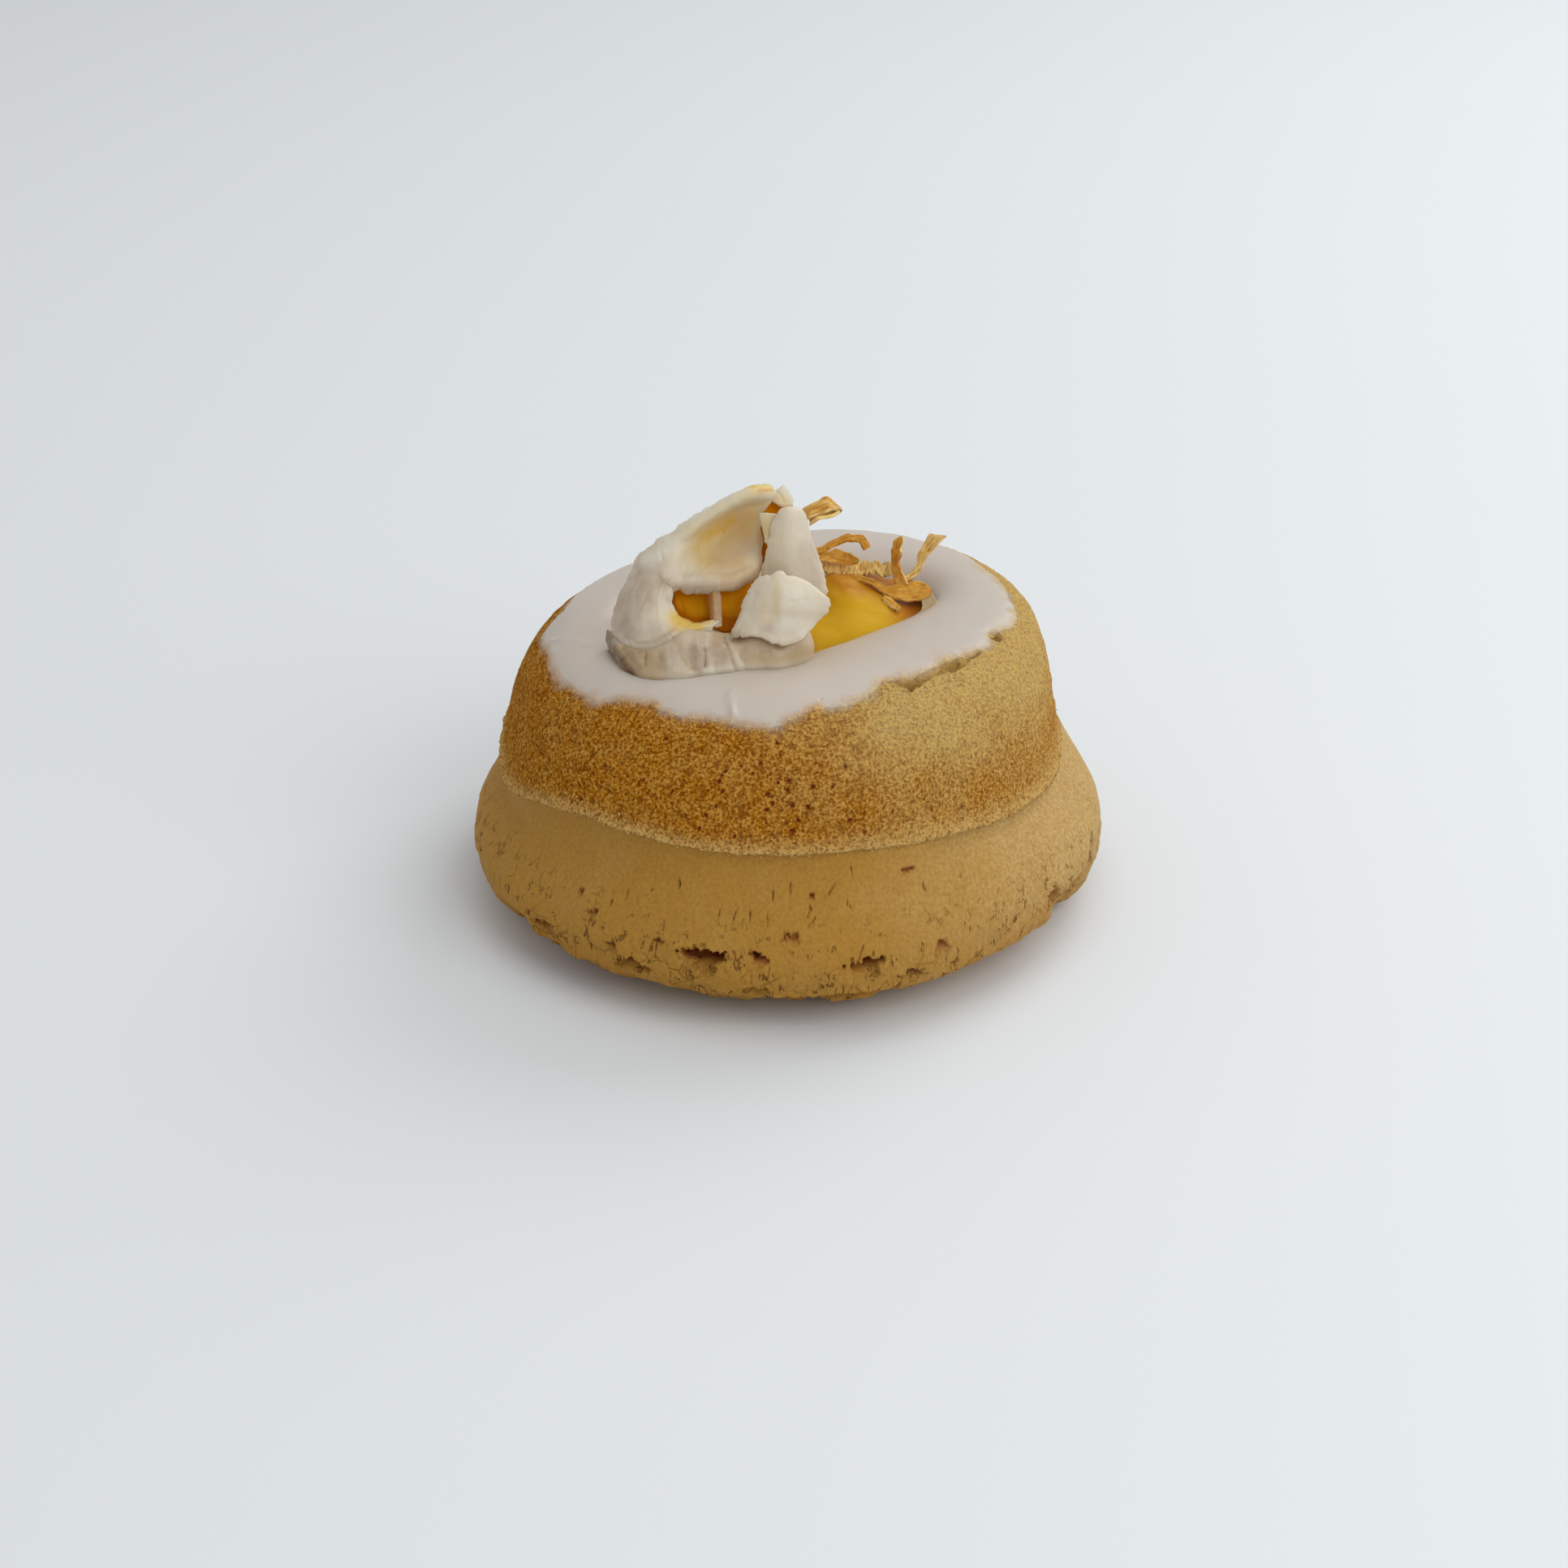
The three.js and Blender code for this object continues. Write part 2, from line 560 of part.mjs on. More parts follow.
function shredSpec([side, points], seed) {
  const dir = new THREE.Vector3(...side).normalize();
  const stations = points.map(([x, y, z, w]) => {
    const l = new THREE.Vector3(x, y, z).addScaledVector(dir, w / 2);
    const r = new THREE.Vector3(x, y, z).addScaledVector(dir, -w / 2);
    return [l.x, l.y, l.z, r.x, r.y, r.z, 0.1, 0];
  });
  const along = 3 * (points.length - 1);
  return { stations, along, across: 2, thick: SHRED, face: FRONT, seed };
}

function makeStrut() {
  const stations = [
    [-10, -8.4, 45.6, -9, -8.2, 45.6, 0.2, 0], [-9.9, -9.4, 43.6, -8.9, -9.3, 43.6, 0.2, 0],
    [-9.8, -11.2, 41.6, -8.6, -11.2, 41.4, 0.2, 0],
  ];
  return makeSheet({ stations, along: 5, across: 3, thick: 0.8, face: FRONT, seed: 7 });
}

const COLOURS = {
  doughnut: 0xb98645, icing: 0xd8cdc6, filling: 0xd99a2b, pulp_base: 0xc9bdae,
  petal: 0xe9dfc8, shred: 0xb9803c,
};

function toMesh(name, solid, colour) {
  const mesh = solid.getMesh();
  const geometry = new THREE.BufferGeometry();
  geometry.setAttribute('position', new THREE.Float32BufferAttribute(mesh.vertProperties, 3));
  geometry.setIndex([...mesh.triVerts]);
  const result = new THREE.Mesh(geometry, new THREE.MeshStandardMaterial({ color: colour }));
  result.name = name;
  return result;
}

const group = new THREE.Group();
group.add(toMesh('doughnut', makeDough(), COLOURS.doughnut));
group.add(toMesh('icing', makeGlaze(), COLOURS.icing));
group.add(toMesh('filling', makeFilling(), COLOURS.filling));

// Each piece of the topping is trimmed clear of those before it
const kept = [makeGround()];
function place(name, spec, extra, colour) {
  let solid = makeSheet(spec);
  let space = sheetRoom(spec);
  if (extra) {
    solid = solid.add(extra);
    space = space.add(extra);
  }
  kept.forEach((other) => { solid = solid.subtract(other); });
  kept.push(space);
  group.add(toMesh(name, largest(solid).simplify(0.02), colour));
}

Object.entries(PETALS).forEach(([name, spec]) => {
  const extra = name === 'petal_hood' ? makeStrut() : null;
  place(name, spec, extra, name === 'pulp_base' ? COLOURS.pulp_base : COLOURS.petal);
});
Object.entries(SHREDS).forEach(([name, data], i) => {
  place(name, shredSpec(data, 10 + i), null, COLOURS.shred);
});

export default group;
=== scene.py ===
import math
import bpy
import numpy as np
from mathutils import Matrix, Vector


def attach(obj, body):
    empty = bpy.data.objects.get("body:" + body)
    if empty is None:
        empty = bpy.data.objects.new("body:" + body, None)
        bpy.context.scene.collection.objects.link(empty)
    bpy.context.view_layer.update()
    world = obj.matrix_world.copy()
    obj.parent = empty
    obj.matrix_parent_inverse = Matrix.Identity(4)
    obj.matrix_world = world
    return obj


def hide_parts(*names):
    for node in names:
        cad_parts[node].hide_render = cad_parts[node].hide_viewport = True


bl_info = {
    "name": "Mochi Doughnut",
    "version": (1, 0, 0),
    "blender": (4, 5, 0),
    "location": "View3D > Sidebar > Doughnut",
    "description": "Builds a filled mochi doughnut with icing, torn fruit and fried shreds",
    "category": "Add Mesh",
}

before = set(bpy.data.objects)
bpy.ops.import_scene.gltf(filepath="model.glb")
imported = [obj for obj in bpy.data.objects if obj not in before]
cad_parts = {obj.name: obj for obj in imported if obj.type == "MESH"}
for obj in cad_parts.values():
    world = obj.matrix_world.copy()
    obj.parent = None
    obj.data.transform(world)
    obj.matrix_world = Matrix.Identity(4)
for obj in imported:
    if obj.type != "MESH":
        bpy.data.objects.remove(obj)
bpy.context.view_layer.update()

# The front view: where it is seen from in mm, its directions, and the depth that its marks are
# measured at. The outer side of every thin sheet faces OUTWARDS.
EYE = np.array([-0.17, -352.02, 198.57])
ACROSS = np.array([1.0, 0.0023, 0.0043])
ABOVE = np.array([-0.0049, 0.4664, 0.8846])
AHEAD = np.array([0.0, 0.8846, -0.4664])
VIEW_PLANE = 390.0
OUTWARDS = np.array([-0.15, -0.8, 0.58])
LENS, SENSOR = 68.2, 36.0
TILT, ROLL = math.radians(62.2), math.radians(0.28)

# Body of the dough, in mm: height of its widest part, and where its parts are centred along X
BAND_HEIGHT = 8.5
FOOT_X, CRUST_X, CREST_X = 1.5, -1.0, 0.2

# Powers of the two curves, with their change round the azimuth: the lower curve and the shoulder
FULL, FULL_X = 0.94, -0.26
SQUARE, SQUARE_X = 0.86, -0.16

# How far the lip at the seam stands out, and the part of the crust over which it fades
LIP, LIP_FADE = 1.1, 0.07

# Rise of the whole top for each mm to the right; outer radius that the crest is worked out from
LEAN = 0.05
CREST_OUTER = 29.6

# Middle of the well. Its rim: mean radius, an oval wave and its azimuth, a one-sided wave and its
# azimuth; how far the rim lies below the crest, and the wall inside it.
WELL = np.array([-2.0, 2.5])
RIM = (18.8, 3.0, math.radians(15), 1.2, math.radians(225))
RIM_DROP = 6.0
RIM_INSET = 3.0

# Where the wall of the well is drawn in or out: azimuth, reach in mm, width in degrees
WELL_PULL = ((256, -3.7, 10.4), (308.5, -5.4, 35), (345, -3.8, 21), (12, 3.0, 22))

# How much the well narrows on its way down, and the height of its floor
WELL_TAPER = 1.5
WELL_FLOOR = 25.0

# Places on the profile: the joint of band and crust, the end of the icing in the well, where the
# filling meets the wall, and the middle of the well's floor
BAND_END, CRUST_START = 2.9995, 3.0005
GLAZE_END = 5.35
FILL_EDGE = 4.8
WELL_MIDDLE = 7.0

# The filling: its level, and the humps on it by x, y, height and two widths
FILL_LEVEL = 36.0
MOUNDS = ((7, 5, 3.9, 6.5, 6), (9, 12, 2.4, 8, 5), (-9, 0, 2.6, 8, 8))

# Fineness of the meshes: points round a ring, and rows of them
CRUST_RING, CRUST_ROWS = 960, 84
BAND_RING = 900
ICING_RING, ICING_EDGE_ROWS, ICING_ROWS = 720, 22, 40
FILLING_RING, FILLING_ROWS = 240, 70
LIP_RING = 360

# Thin sheets: thickness of the thinnest ones in mm, and the seeds of their noise
THIN = 0.4
FRUIT_SEED, PULP_SEED, RIM_SEED, AMBER_SEED, SHRED_SEED = 1, 6, 9, 21, 40

# How far the body is shifted along X, by place on the profile
SHIFT = (
    (0, 1, 2, 2.7, 3, 3.3, 4, 5, 9),
    (FOOT_X, FOOT_X, 0, 0, CRUST_X, CRUST_X, CREST_X, WELL[0], WELL[0]),
)

# Azimuth in degrees and place on the profile, where the icing ends
GLAZE_EDGE = (
    (0, 3.83), (15, 3.88), (30, 3.86), (60, 3.78), (90, 3.74), (120, 3.76), (150, 3.72),
    (170, 3.72), (177, 3.6), (188, 3.65), (211, 3.64), (222, 3.65), (227, 3.73),
    (236, 3.74), (247, 3.73), (260, 3.69), (269, 3.7), (276, 3.77), (285, 3.8),
    (293, 3.85), (299, 3.92), (306, 3.9), (314, 3.92), (326, 3.88), (334, 3.84),
    (340, 3.89), (346, 3.81), (352, 3.8), (360, 3.83),
)

# How far the seam stands above its mean height: azimuth in degrees and mm
SEAM_WAVE = (
    (0, -2.6), (10, -1.2), (22, 0), (50, 0.5), (80, -0.4), (110, -0.8), (140, 0.6), (170, 0),
    (180, -0.8), (190, -1.8), (198, -2.0), (207, -0.8), (216, 0.9), (228, 2.3), (242, 1.8),
    (250, 1.3), (260, 0.8), (272, 0.4), (285, 0), (296, -0.6), (304, -1.4), (315, -2.7),
    (325, -3.5), (335, -4.1), (345, -4.3), (352, -3.7), (360, -2.6),
)

# Tears in the band: place on the profile, azimuth, width, height, depth
TEARS = (
    (2.12, 256, 4.6, 3.4, 3.0), (1.92, 243, 4.2, 2.0, 2.4), (1.96, 223, 3.4, 1.6, 2.2),
    (1.8, 265, 3.6, 1.4, 1.8), (1.84, 292, 3.4, 1.6, 1.4), (2.04, 284, 3.8, 2.2, 2.2),
    (2.75, 294, 1.5, 0.8, 0.9), (2.0, 326, 2.6, 2.6, 1.4), (1.97, 342, 1.8, 2, 1.2),
    (2.64, 275, 0.7, 0.7, 0.8), (2.33, 271, 2.2, 1.6, 0.5), (2.2, 265, 1.4, 1, 0.6),
    (1.98, 30, 4.4, 1.8, 1.7), (2.1, 62, 2.6, 2, 1.5), (1.9, 95, 3.8, 1.6, 1.5),
    (2.05, 128, 3, 1.5, 1.4), (1.93, 160, 4.2, 1.7, 1.6), (2.3, 48, 2, 1.4, 0.6),
    (2.25, 110, 1.4, 1.4, 0.7), (2.6, 80, 0.9, 0.8, 0.8), (2.5, 145, 1.1, 0.7, 0.8),
    (2.3, 234, 1, 1.2, 0.7), (2.41, 230, 0.6, 1.4, 0.6), (2.22, 248, 1.2, 1, 0.5),
    (2.08, 239, 1.6, 0.8, 0.6), (2.15, 266, 1.6, 1.6, 0.8), (2.06, 298, 2, 1.8, 0.7),
)

# Deeper cracks in the band: place on the profile, azimuth, length, lean
CRACKS = (
    (2.68, 250, 1.6, 0.1), (2.51, 240, 1.4, -0.2), (2.43, 237, 1.2, 0.2), (2.5, 258, 1.8, 0),
    (2.48, 261, 2.6, 0.15), (2.52, 264, 2, -0.1), (2.49, 267, 1.8, 0.1), (2.66, 268, 1.6, 0),
    (2.71, 271, 2, 0.1), (2.72, 277, 2.8, 0.6), (2.55, 274, 2.6, 0.1), (2.47, 274, 2, 0.5),
    (2.83, 283, 2.2, 0), (2.57, 282, 1.4, -0.3), (2.59, 297, 2, -0.4), (2.59, 305, 1.2, 0),
    (2.26, 310, 1.4, 0.2), (2.13, 308, 2.2, 0.5), (2.28, 317, 1.6, 0.6),
)

# Round pores in the crust: place on the profile, azimuth, radius
PORES = (
    (3.37, 258, 0.36), (3.32, 259, 0.28), (3.3, 269, 0.2), (3.38, 272, 0.3), (3.33, 272, 0.28),
    (3.25, 273, 0.34), (3.12, 273, 0.42), (3.17, 274, 0.32), (3.23, 268, 0.3), (3.31, 268, 0.33),
    (3.48, 266, 0.3), (3.46, 262, 0.26), (3.43, 259, 0.24), (3.37, 270, 0.24), (3.18, 256, 0.28),
    (3.11, 255, 0.26), (3.08, 228, 0.24), (3.32, 232, 0.24), (3.31, 242, 0.22), (3.21, 231, 0.2),
    (3.57, 244, 0.3), (3.59, 269, 0.26), (3.15, 284, 0.34), (3.08, 287, 0.26), (3.16, 293, 0.22),
    (3.24, 276, 0.3), (3.34, 277, 0.26), (3.33, 281, 0.3),
)

# Places where the lower edge of the band is drawn in: azimuth, width, depth, height of the step
UNDERCUTS = (
    (316, 11, 1.6, 5.5), (334, 7, 1.5, 9.2), (212, 5, 1.4, 7.5), (292, 6, 0.8, 4.5),
    (60, 14, 1.2, 5), (130, 9, 1.4, 6), (223, 3, 1.6, 5.2), (243, 3.2, 1.8, 4.6),
    (266, 2.6, 1.6, 4.2), (302, 4, 1.2, 5), (275, 2, 1.0, 3.8), (252, 2, 0.9, 4.2),
)

# Broken edge of the crust beside the icing: azimuth, place on the profile
CREVICE = (
    (294, 3.93), (297, 3.91), (300, 3.87), (303, 3.79), (306, 3.81), (310, 3.83), (317, 3.82),
    (322, 3.81), (329, 3.83), (331, 3.86),
)

# Bites out of that edge: place on the profile, azimuth, radius, depth
BITES = ((3.86, 339.5, 1.3, 1.0), (3.6, 152, 1.4, 0.8))


# Noise: the last number in each call is the seed of its layer

MIXERS = (374761393, 668265263, 1103515245, 1274126177)
WORD = 0xFFFFFFFF


def hashed(x, y, z, seed):
    """Scattered numbers from 0 to 1, always the same ones for the same whole numbers."""
    h = (x * MIXERS[0] + y * MIXERS[1] + z * MIXERS[2] + seed * MIXERS[3]) & WORD
    h = ((h ^ (h >> 13)) * MIXERS[3]) & WORD
    return (h ^ (h >> 16)) / WORD


def noise(p, size, seed):
    """Smooth noise from -1 to 1 at points p, with lumps of the given size."""
    q = p / size
    i = np.floor(q).astype(np.int64)
    f = q - i
    f = f * f * (3 - 2 * f)
    total = 0.0
    for dx in (0, 1):
        for dy in (0, 1):
            for dz in (0, 1):
                weight = np.abs(1 - dx - f[..., 0]) * np.abs(1 - dy - f[..., 1])
                weight = weight * np.abs(1 - dz - f[..., 2])
                corner = hashed(i[..., 0] + dx, i[..., 1] + dy, i[..., 2] + dz, seed)
                total = total + weight * corner
    return 2 * total - 1


def layers(p, size, count, seed):
    """Noise of the given size with finer and fainter noise added to it."""
    return sum(noise(p, size / 2**k, seed + k) / 2**k for k in range(count))


def cells(p, size, seed):
    """Distance to the nearest and second nearest scattered point, and a number for the nearest."""
    q = p / size
    base = np.floor(q).astype(np.int64)
    first = np.full(p.shape[:-1], 9.0)
    second = np.full(p.shape[:-1], 9.0)
    tag = np.zeros(p.shape[:-1])
    for dx in (-1, 0, 1):
        for dy in (-1, 0, 1):
            for dz in (-1, 0, 1):
                c = base + np.array([dx, dy, dz])
                x, y, z = c[..., 0], c[..., 1], c[..., 2]
                spot = np.stack([hashed(x, y, z, seed + k) for k in range(3)], -1)
                d = np.linalg.norm(c + spot - q, axis=-1)
                near = d < first
                second = np.where(near, first, np.minimum(second, d))
                tag = np.where(near, hashed(x, y, z, seed + 7), tag)
                first = np.where(near, d, first)
    return first * size, second * size, tag


def ramp(low, high, v):
    """0 below low, 1 above high and a smooth rise between; low may be the larger one."""
    c = np.clip((v - low) / (high - low), 0, 1)
    return c * c * (3 - 2 * c)


# Shape of the body


def turned(a, centre):
    """Angle from the centre to a, between half a turn each way."""
    return (a - centre + math.pi) % (2 * math.pi) - math.pi


def degrees(a):
    return np.degrees(a) % 360


def bump(v, middle, wide):
    """1 at the middle, fading out at each side of it."""
    return np.exp(-(((v - middle) / wide) ** 2))


def along_knots(v, knots):
    """Value at v on straight lines between the knots."""
    return np.interp(v, *np.transpose(knots))


def rim_radius(a):
    return RIM[0] + RIM[1] * np.cos(2 * (a - RIM[2])) + RIM[3] * np.cos(a - RIM[4])


def body(s, a):
    """Points on the body. s runs 0-1 underside, 1-2 lower curve, 2-3 band, 3-4 crust,
    4-5 rim, 5-6 wall of the well and 6-7 its floor; a is the azimuth."""
    d = bpy.context.scene.mochi_dough
    foot, band = d.foot_radius * 1000, d.band_radius * 1000
    seam_r, crust_r = d.seam_radius * 1000, d.crust_radius * 1000
    seam_top, crest_z = d.seam_height * 1000, d.crest_height * 1000
    s, a = np.broadcast_arrays(np.asarray(s, float), np.asarray(a, float))
    part = np.minimum(np.floor(s), 6)
    w = s - part
    sin, cos = np.sin(w * math.pi / 2), np.maximum(np.cos(w * math.pi / 2), 0)
    well = rim_radius(a) - RIM_INSET
    for azimuth, reach, wide in WELL_PULL:
        well = well + reach * bump(turned(a, math.radians(azimuth)), 0, math.radians(wide))
    wave = sum(along_knots((np.degrees(a) + k) % 360, SEAM_WAVE) for k in (-4, 0, 4)) / 3
    seam_z = seam_top + wave * ramp(2.0, 3.0, s) * ramp(4.0, 3.0, s)
    crest = (rim_radius(a) + CREST_OUTER) / 2
    rim_z = crest_z - RIM_DROP
    swept = np.maximum(sin, 0) ** (FULL + FULL_X * np.cos(2 * a))
    shoulder = cos ** (SQUARE + SQUARE_X * np.cos(a))
    radii = (
        w * foot,
        foot + (band - foot) * swept,
        seam_r + (band - seam_r) * (0.5 + 0.5 * np.cos(math.pi * w)),
        crest + (crust_r - crest) * shoulder + LIP * np.exp(-w / LIP_FADE),
        crest - (crest - well) * sin,
        well - WELL_TAPER * w,
        (well - WELL_TAPER) * (1 - w),
    )
    heights = (
        0 * w,
        BAND_HEIGHT * (1 - cos),
        BAND_HEIGHT + (seam_z - BAND_HEIGHT) * w,
        seam_z + (crest_z - seam_z) * sin,
        crest_z - RIM_DROP * (1 - cos),
        rim_z + (WELL_FLOOR - rim_z) * w,
        0 * w + WELL_FLOOR,
    )
    r = np.choose(part.astype(int), radii)
    z = np.choose(part.astype(int), heights)
    waves = 0.25 * np.sin(3 * a + 0.6) + 0.18 * np.sin(5 * a + 2.1) + 0.12 * np.sin(8 * a + 4)
    r = r + waves * np.clip((s - 1) / 0.5, 0, 1) * np.clip((4 - s) / 0.6, 0, 1)
    x = np.interp(s, *SHIFT) + r * np.cos(a)
    y = ramp(3, 5, s) * WELL[1] + r * np.sin(a)
    return np.stack([x, y, z + LEAN * x * np.clip(z / seam_top, 0, 1)], -1)


def glaze_edge(a):
    """Place on the profile where the icing ends."""
    return along_knots(degrees(a), GLAZE_EDGE) + 0.012 * np.sin(17 * a + 1)


def whiteness(from_edge, p, hollow):
    """How far the icing hides the crumb, from 0 outside its edge to 1 inside."""
    inside = from_edge + 0.035 * noise(p, 1.8, 77) + 0.015 * noise(p, 0.7, 78)
    return ramp(-0.055, 0.075, inside) * (1 - np.clip(1.2 * hollow, 0, 1))


def unit(v):
    return v / (np.linalg.norm(v, axis=-1, keepdims=True) + 1e-12)


def grid_normals(p):
    return unit(np.cross(np.gradient(p, axis=0), np.gradient(p, axis=1)))


def ring_normals(p):
    """Outward normals of a grid of rings, which run upwards and close round the azimuth."""
    around = np.roll(p, -1, 1) - np.roll(p, 1, 1)
    return unit(np.cross(around, np.gradient(p, axis=0)))


def ring_grid(places, ring):
    """Places on the profile by azimuths, with the points of the body there and their normals."""
    s = np.array(places)
    s = np.broadcast_to(s if s.ndim > 1 else s[:, None], (len(s), len(ring)))
    a = np.broadcast_to(ring, s.shape)
    p = body(s, a)
    return s, a, p, ring_normals(p)


def azimuths(count):
    return np.arange(count) / count * 2 * math.pi


def front_ring(count, lean=0.33):
    """Azimuths of a ring that stand closer together in front, where the detail is finest."""
    t = azimuths(count)
    return t - lean * np.sin(t - math.radians(275))


# Meshes


def new_object(name, verts, faces, material, fields=None):
    """A smooth mesh from points in mm, with the fields that its material reads."""
    mesh = bpy.data.meshes.new(name)
    mesh.from_pydata((np.asarray(verts) * 0.001).tolist(), [], faces)
    mesh.polygons.foreach_set("use_smooth", [True] * len(mesh.polygons))
    for key, values in (fields or {}).items():
        layer = mesh.attributes.new(key, "FLOAT", "POINT")
        layer.data.foreach_set("value", np.asarray(values, dtype=np.float32))
    mesh.update()
    obj = bpy.data.objects.new(name, mesh)
    obj.data.materials.append(material)
    bpy.context.scene.collection.objects.link(obj)
    return obj


def ring_quads(rows, count, closed=False):
    """Faces between rings of points; closed joins the last ring to the first."""
    j = np.arange(count)
    k = (j + 1) % count
    quads = []
    for i in range(rows if closed else rows - 1):
        low, high = i * count, (i + 1) % rows * count
        quads.append(np.stack([low + j, low + k, high + k, high + j], -1))
    return np.concatenate(quads).tolist()


def ring_object(name, p, material, fields, first, last):
    """A closed mesh from a grid of rings, with a point at each end."""
    rows, count = p.shape[:2]
    verts = np.concatenate([p.reshape(-1, 3), [first, last]])
    j = np.arange(count)
    k = (j + 1) % count
    start, end, top = rows * count, rows * count + 1, (rows - 1) * count
    faces = ring_quads(rows, count)
    faces += np.stack([start + 0 * j, k, j], -1).tolist()
    faces += np.stack([end + 0 * j, top + j, top + k], -1).tolist()
    full = {key: np.concatenate([v.reshape(-1), [0, 0]]) for key, v in fields.items()}
    return new_object(name, verts, faces, material, full)


def finish_piece(obj, slot, *nodes):
    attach(obj, "root")
    if nodes:
        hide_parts(*nodes)


# Thin sheets: torn fruit and shreds


def smooth_curve(rows, t):
    """Points of a smooth curve through the rows, at t from 0 to 1."""
    rows = np.asarray(rows, float)
    v = np.clip(t, 0, 1) * (len(rows) - 1)
    i = np.minimum(np.floor(v).astype(int), len(rows) - 2)
    f = (v - i)[:, None]
    p, q = rows[np.maximum(i - 1, 0)], rows[i]
    r, s = rows[i + 1], rows[np.minimum(i + 2, len(rows) - 1)]
    bend = (2 * p - 5 * q + 4 * r - s) * f**2 + (3 * q - p - 3 * r + s) * f**3
    return 0.5 * (2 * q + (r - p) * f + bend)


def smooth_sheet(rows, t, u):
    """Surface through rows of points, each row's x, y and z values in one run: t runs along
    the rows and u across them."""
    along = smooth_curve(rows, t).reshape(len(t), -1, 3)
    turned_rows = along.transpose(1, 0, 2)
    full = smooth_curve(turned_rows.reshape(len(turned_rows), -1), u)
    return full.reshape(len(u), len(t), 3).transpose(1, 0, 2)


def seen(p):
    """Where points stand in the front view, in mm across and up from its middle."""
    rel = p - EYE
    flat = np.stack([rel @ ACROSS, rel @ ABOVE], -1)
    return flat * (VIEW_PLANE / (rel @ AHEAD))[..., None]


def off_line(p, start, end):
    """Ways to the points p from the line between two points, and how far along it they are."""
    along = end - start
    t = np.clip(((p - start) @ along) / (along @ along + 1e-9), 0, 1)
    return p - start - t[..., None] * along, t


def stroke(q, width, line):
    """1 on a line through points of the front view, fading out to each side of it."""
    points = np.reshape(line, (-1, 2))
    best = np.full(q.shape[:-1], 99.0)
    for start, end in zip(points, points[1:] if len(points) > 1 else points):
        best = np.minimum(best, np.linalg.norm(off_line(q, start, end)[0], axis=-1))
    return bump(best, 0, width)


def paint(name, fields, q, p, spread=1.15):
    """Lay the strokes of a piece, drawn at the places q of the front view, into its fields."""
    uneven = 1 + 0.25 * layers(p, 0.9, 2, 66)
    for key, amount, width, *line in PAINT.get(name, ()):
        soft = amount * stroke(q, width * spread, line) * uneven
        fields[key] = np.clip(np.maximum(fields[key], soft), 0, 1)


def tear_edges(p, ragged, seed, size):
    """Pull the four edges of a sheet in and out, so that they look torn."""
    for axis, index in ((1, 0), (1, -1), (0, 0), (0, -1)):
        rim = np.take(p, [index], axis=axis)
        inner = np.take(p, [p.shape[axis] // 2], axis=axis)
        reach = np.exp(-np.linalg.norm(p - rim, axis=-1, keepdims=True) / (4 * ragged + 0.15))
        pull = ragged * layers(rim + 9 * index, size, 3, seed + 5 * axis)[..., None]
        p = p + unit(inner - rim) * reach * pull
    return p


def sheet_object(
    name, rows, material, size, thick, seed, ragged=0.16, wave=0.05, fibre=None, bite=1.3,
    crinkle=0.0, add_fields=None,
):
    """A closed thin sheet through a grid of points, with its own marks. size is its faces along
    and across, ragged and bite are how far and how finely its edges are torn, and wave and
    crinkle how high its surface rolls and folds."""
    along, across = size
    t = np.linspace(0, 1, along + 1)
    u = np.linspace(0, 1, across + 1)
    u = 0.5 * u + 0.25 - 0.25 * np.cos(math.pi * u)
    p = tear_edges(smooth_sheet(rows, t, u), ragged, 31 + seed, bite)
    n = grid_normals(p)
    n = n * (1 if np.sum(n @ OUTWARDS) > 0 else -1)
    q = seen(p)
    lift = wave * layers(p, 2.6, 3, 90 + seed) + 2 * wave * noise(p, 6.0, 95 + seed)
    creased = ramp(0.14, 0.0, np.abs(noise(p, 2.4, 71 + seed)))
    lift = lift - crinkle * creased * ramp(-0.1, 0.5, noise(p, 4.0, 72 + seed))
    for height, width, *line in RELIEF.get(name, ()):
        lift = lift + height * stroke(q, width, line)
    t, u = np.meshgrid(t, u, indexing="ij")
    if fibre:
        long = np.stack([t * fibre[0], u * fibre[1], 0 * lift + seed], -1)
        lift = lift + fibre[2] * (noise(long, 1.0, 97) + 0.5 * noise(long * 2.1, 1.0, 98))
    p = p + n * lift[..., None]
    thin = [np.minimum(1, 0.4 + 8 * np.minimum(v, 1 - v)) for v in (t, u)]
    half = thick / 2 * thin[0] * thin[1] * (1 + 0.2 * layers(p, 1.4, 2, 7 + seed))
    out = grid_normals(p) * half[..., None]
    verts = np.stack([p + out, p - out]).reshape(-1, 3)
    fields = {"along": t, "across": u} | {key: 0 * half for key in ("warm", "deep", "wet", "pale")}
    paint(name, fields, q, p)
    fields = {key: np.concatenate([v.reshape(-1)] * 2) for key, v in fields.items()}
    if add_fields:
        add_fields(name, seed, verts, fields)
    f = sheet_faces(along, across)
    a, b, c, d = (verts[f[:, k]] - verts[0] for k in range(4))
    if np.sum(a * (np.cross(b, c) + np.cross(c, d))) < 0:
        f = f[:, ::-1]
    return new_object(name + "_skin", verts, f.tolist(), material, fields)


def sheet_faces(along, across):
    """Both sides of a sheet and the four strips that close its edges."""
    row = across + 1
    count = row * (along + 1)
    i, j = np.meshgrid(np.arange(along), np.arange(across), indexing="ij")
    a = (i * row + j).reshape(-1)
    top = np.stack([a, a + row, a + row + 1, a + 1], -1)
    faces = [top, count + top[:, ::-1]]
    down, over = np.arange(along) * row, np.arange(across)
    strips = (
        (down, row, False), (down + across, row, True),
        (over, 1, True), (over + along * row, 1, False),
    )
    for edge, step, flip in strips:
        strip = np.stack([edge, count + edge, count + edge + step, edge + step], -1)
        faces.append(strip[:, [0, 3, 2, 1]] if flip else strip)
    return np.concatenate(faces)


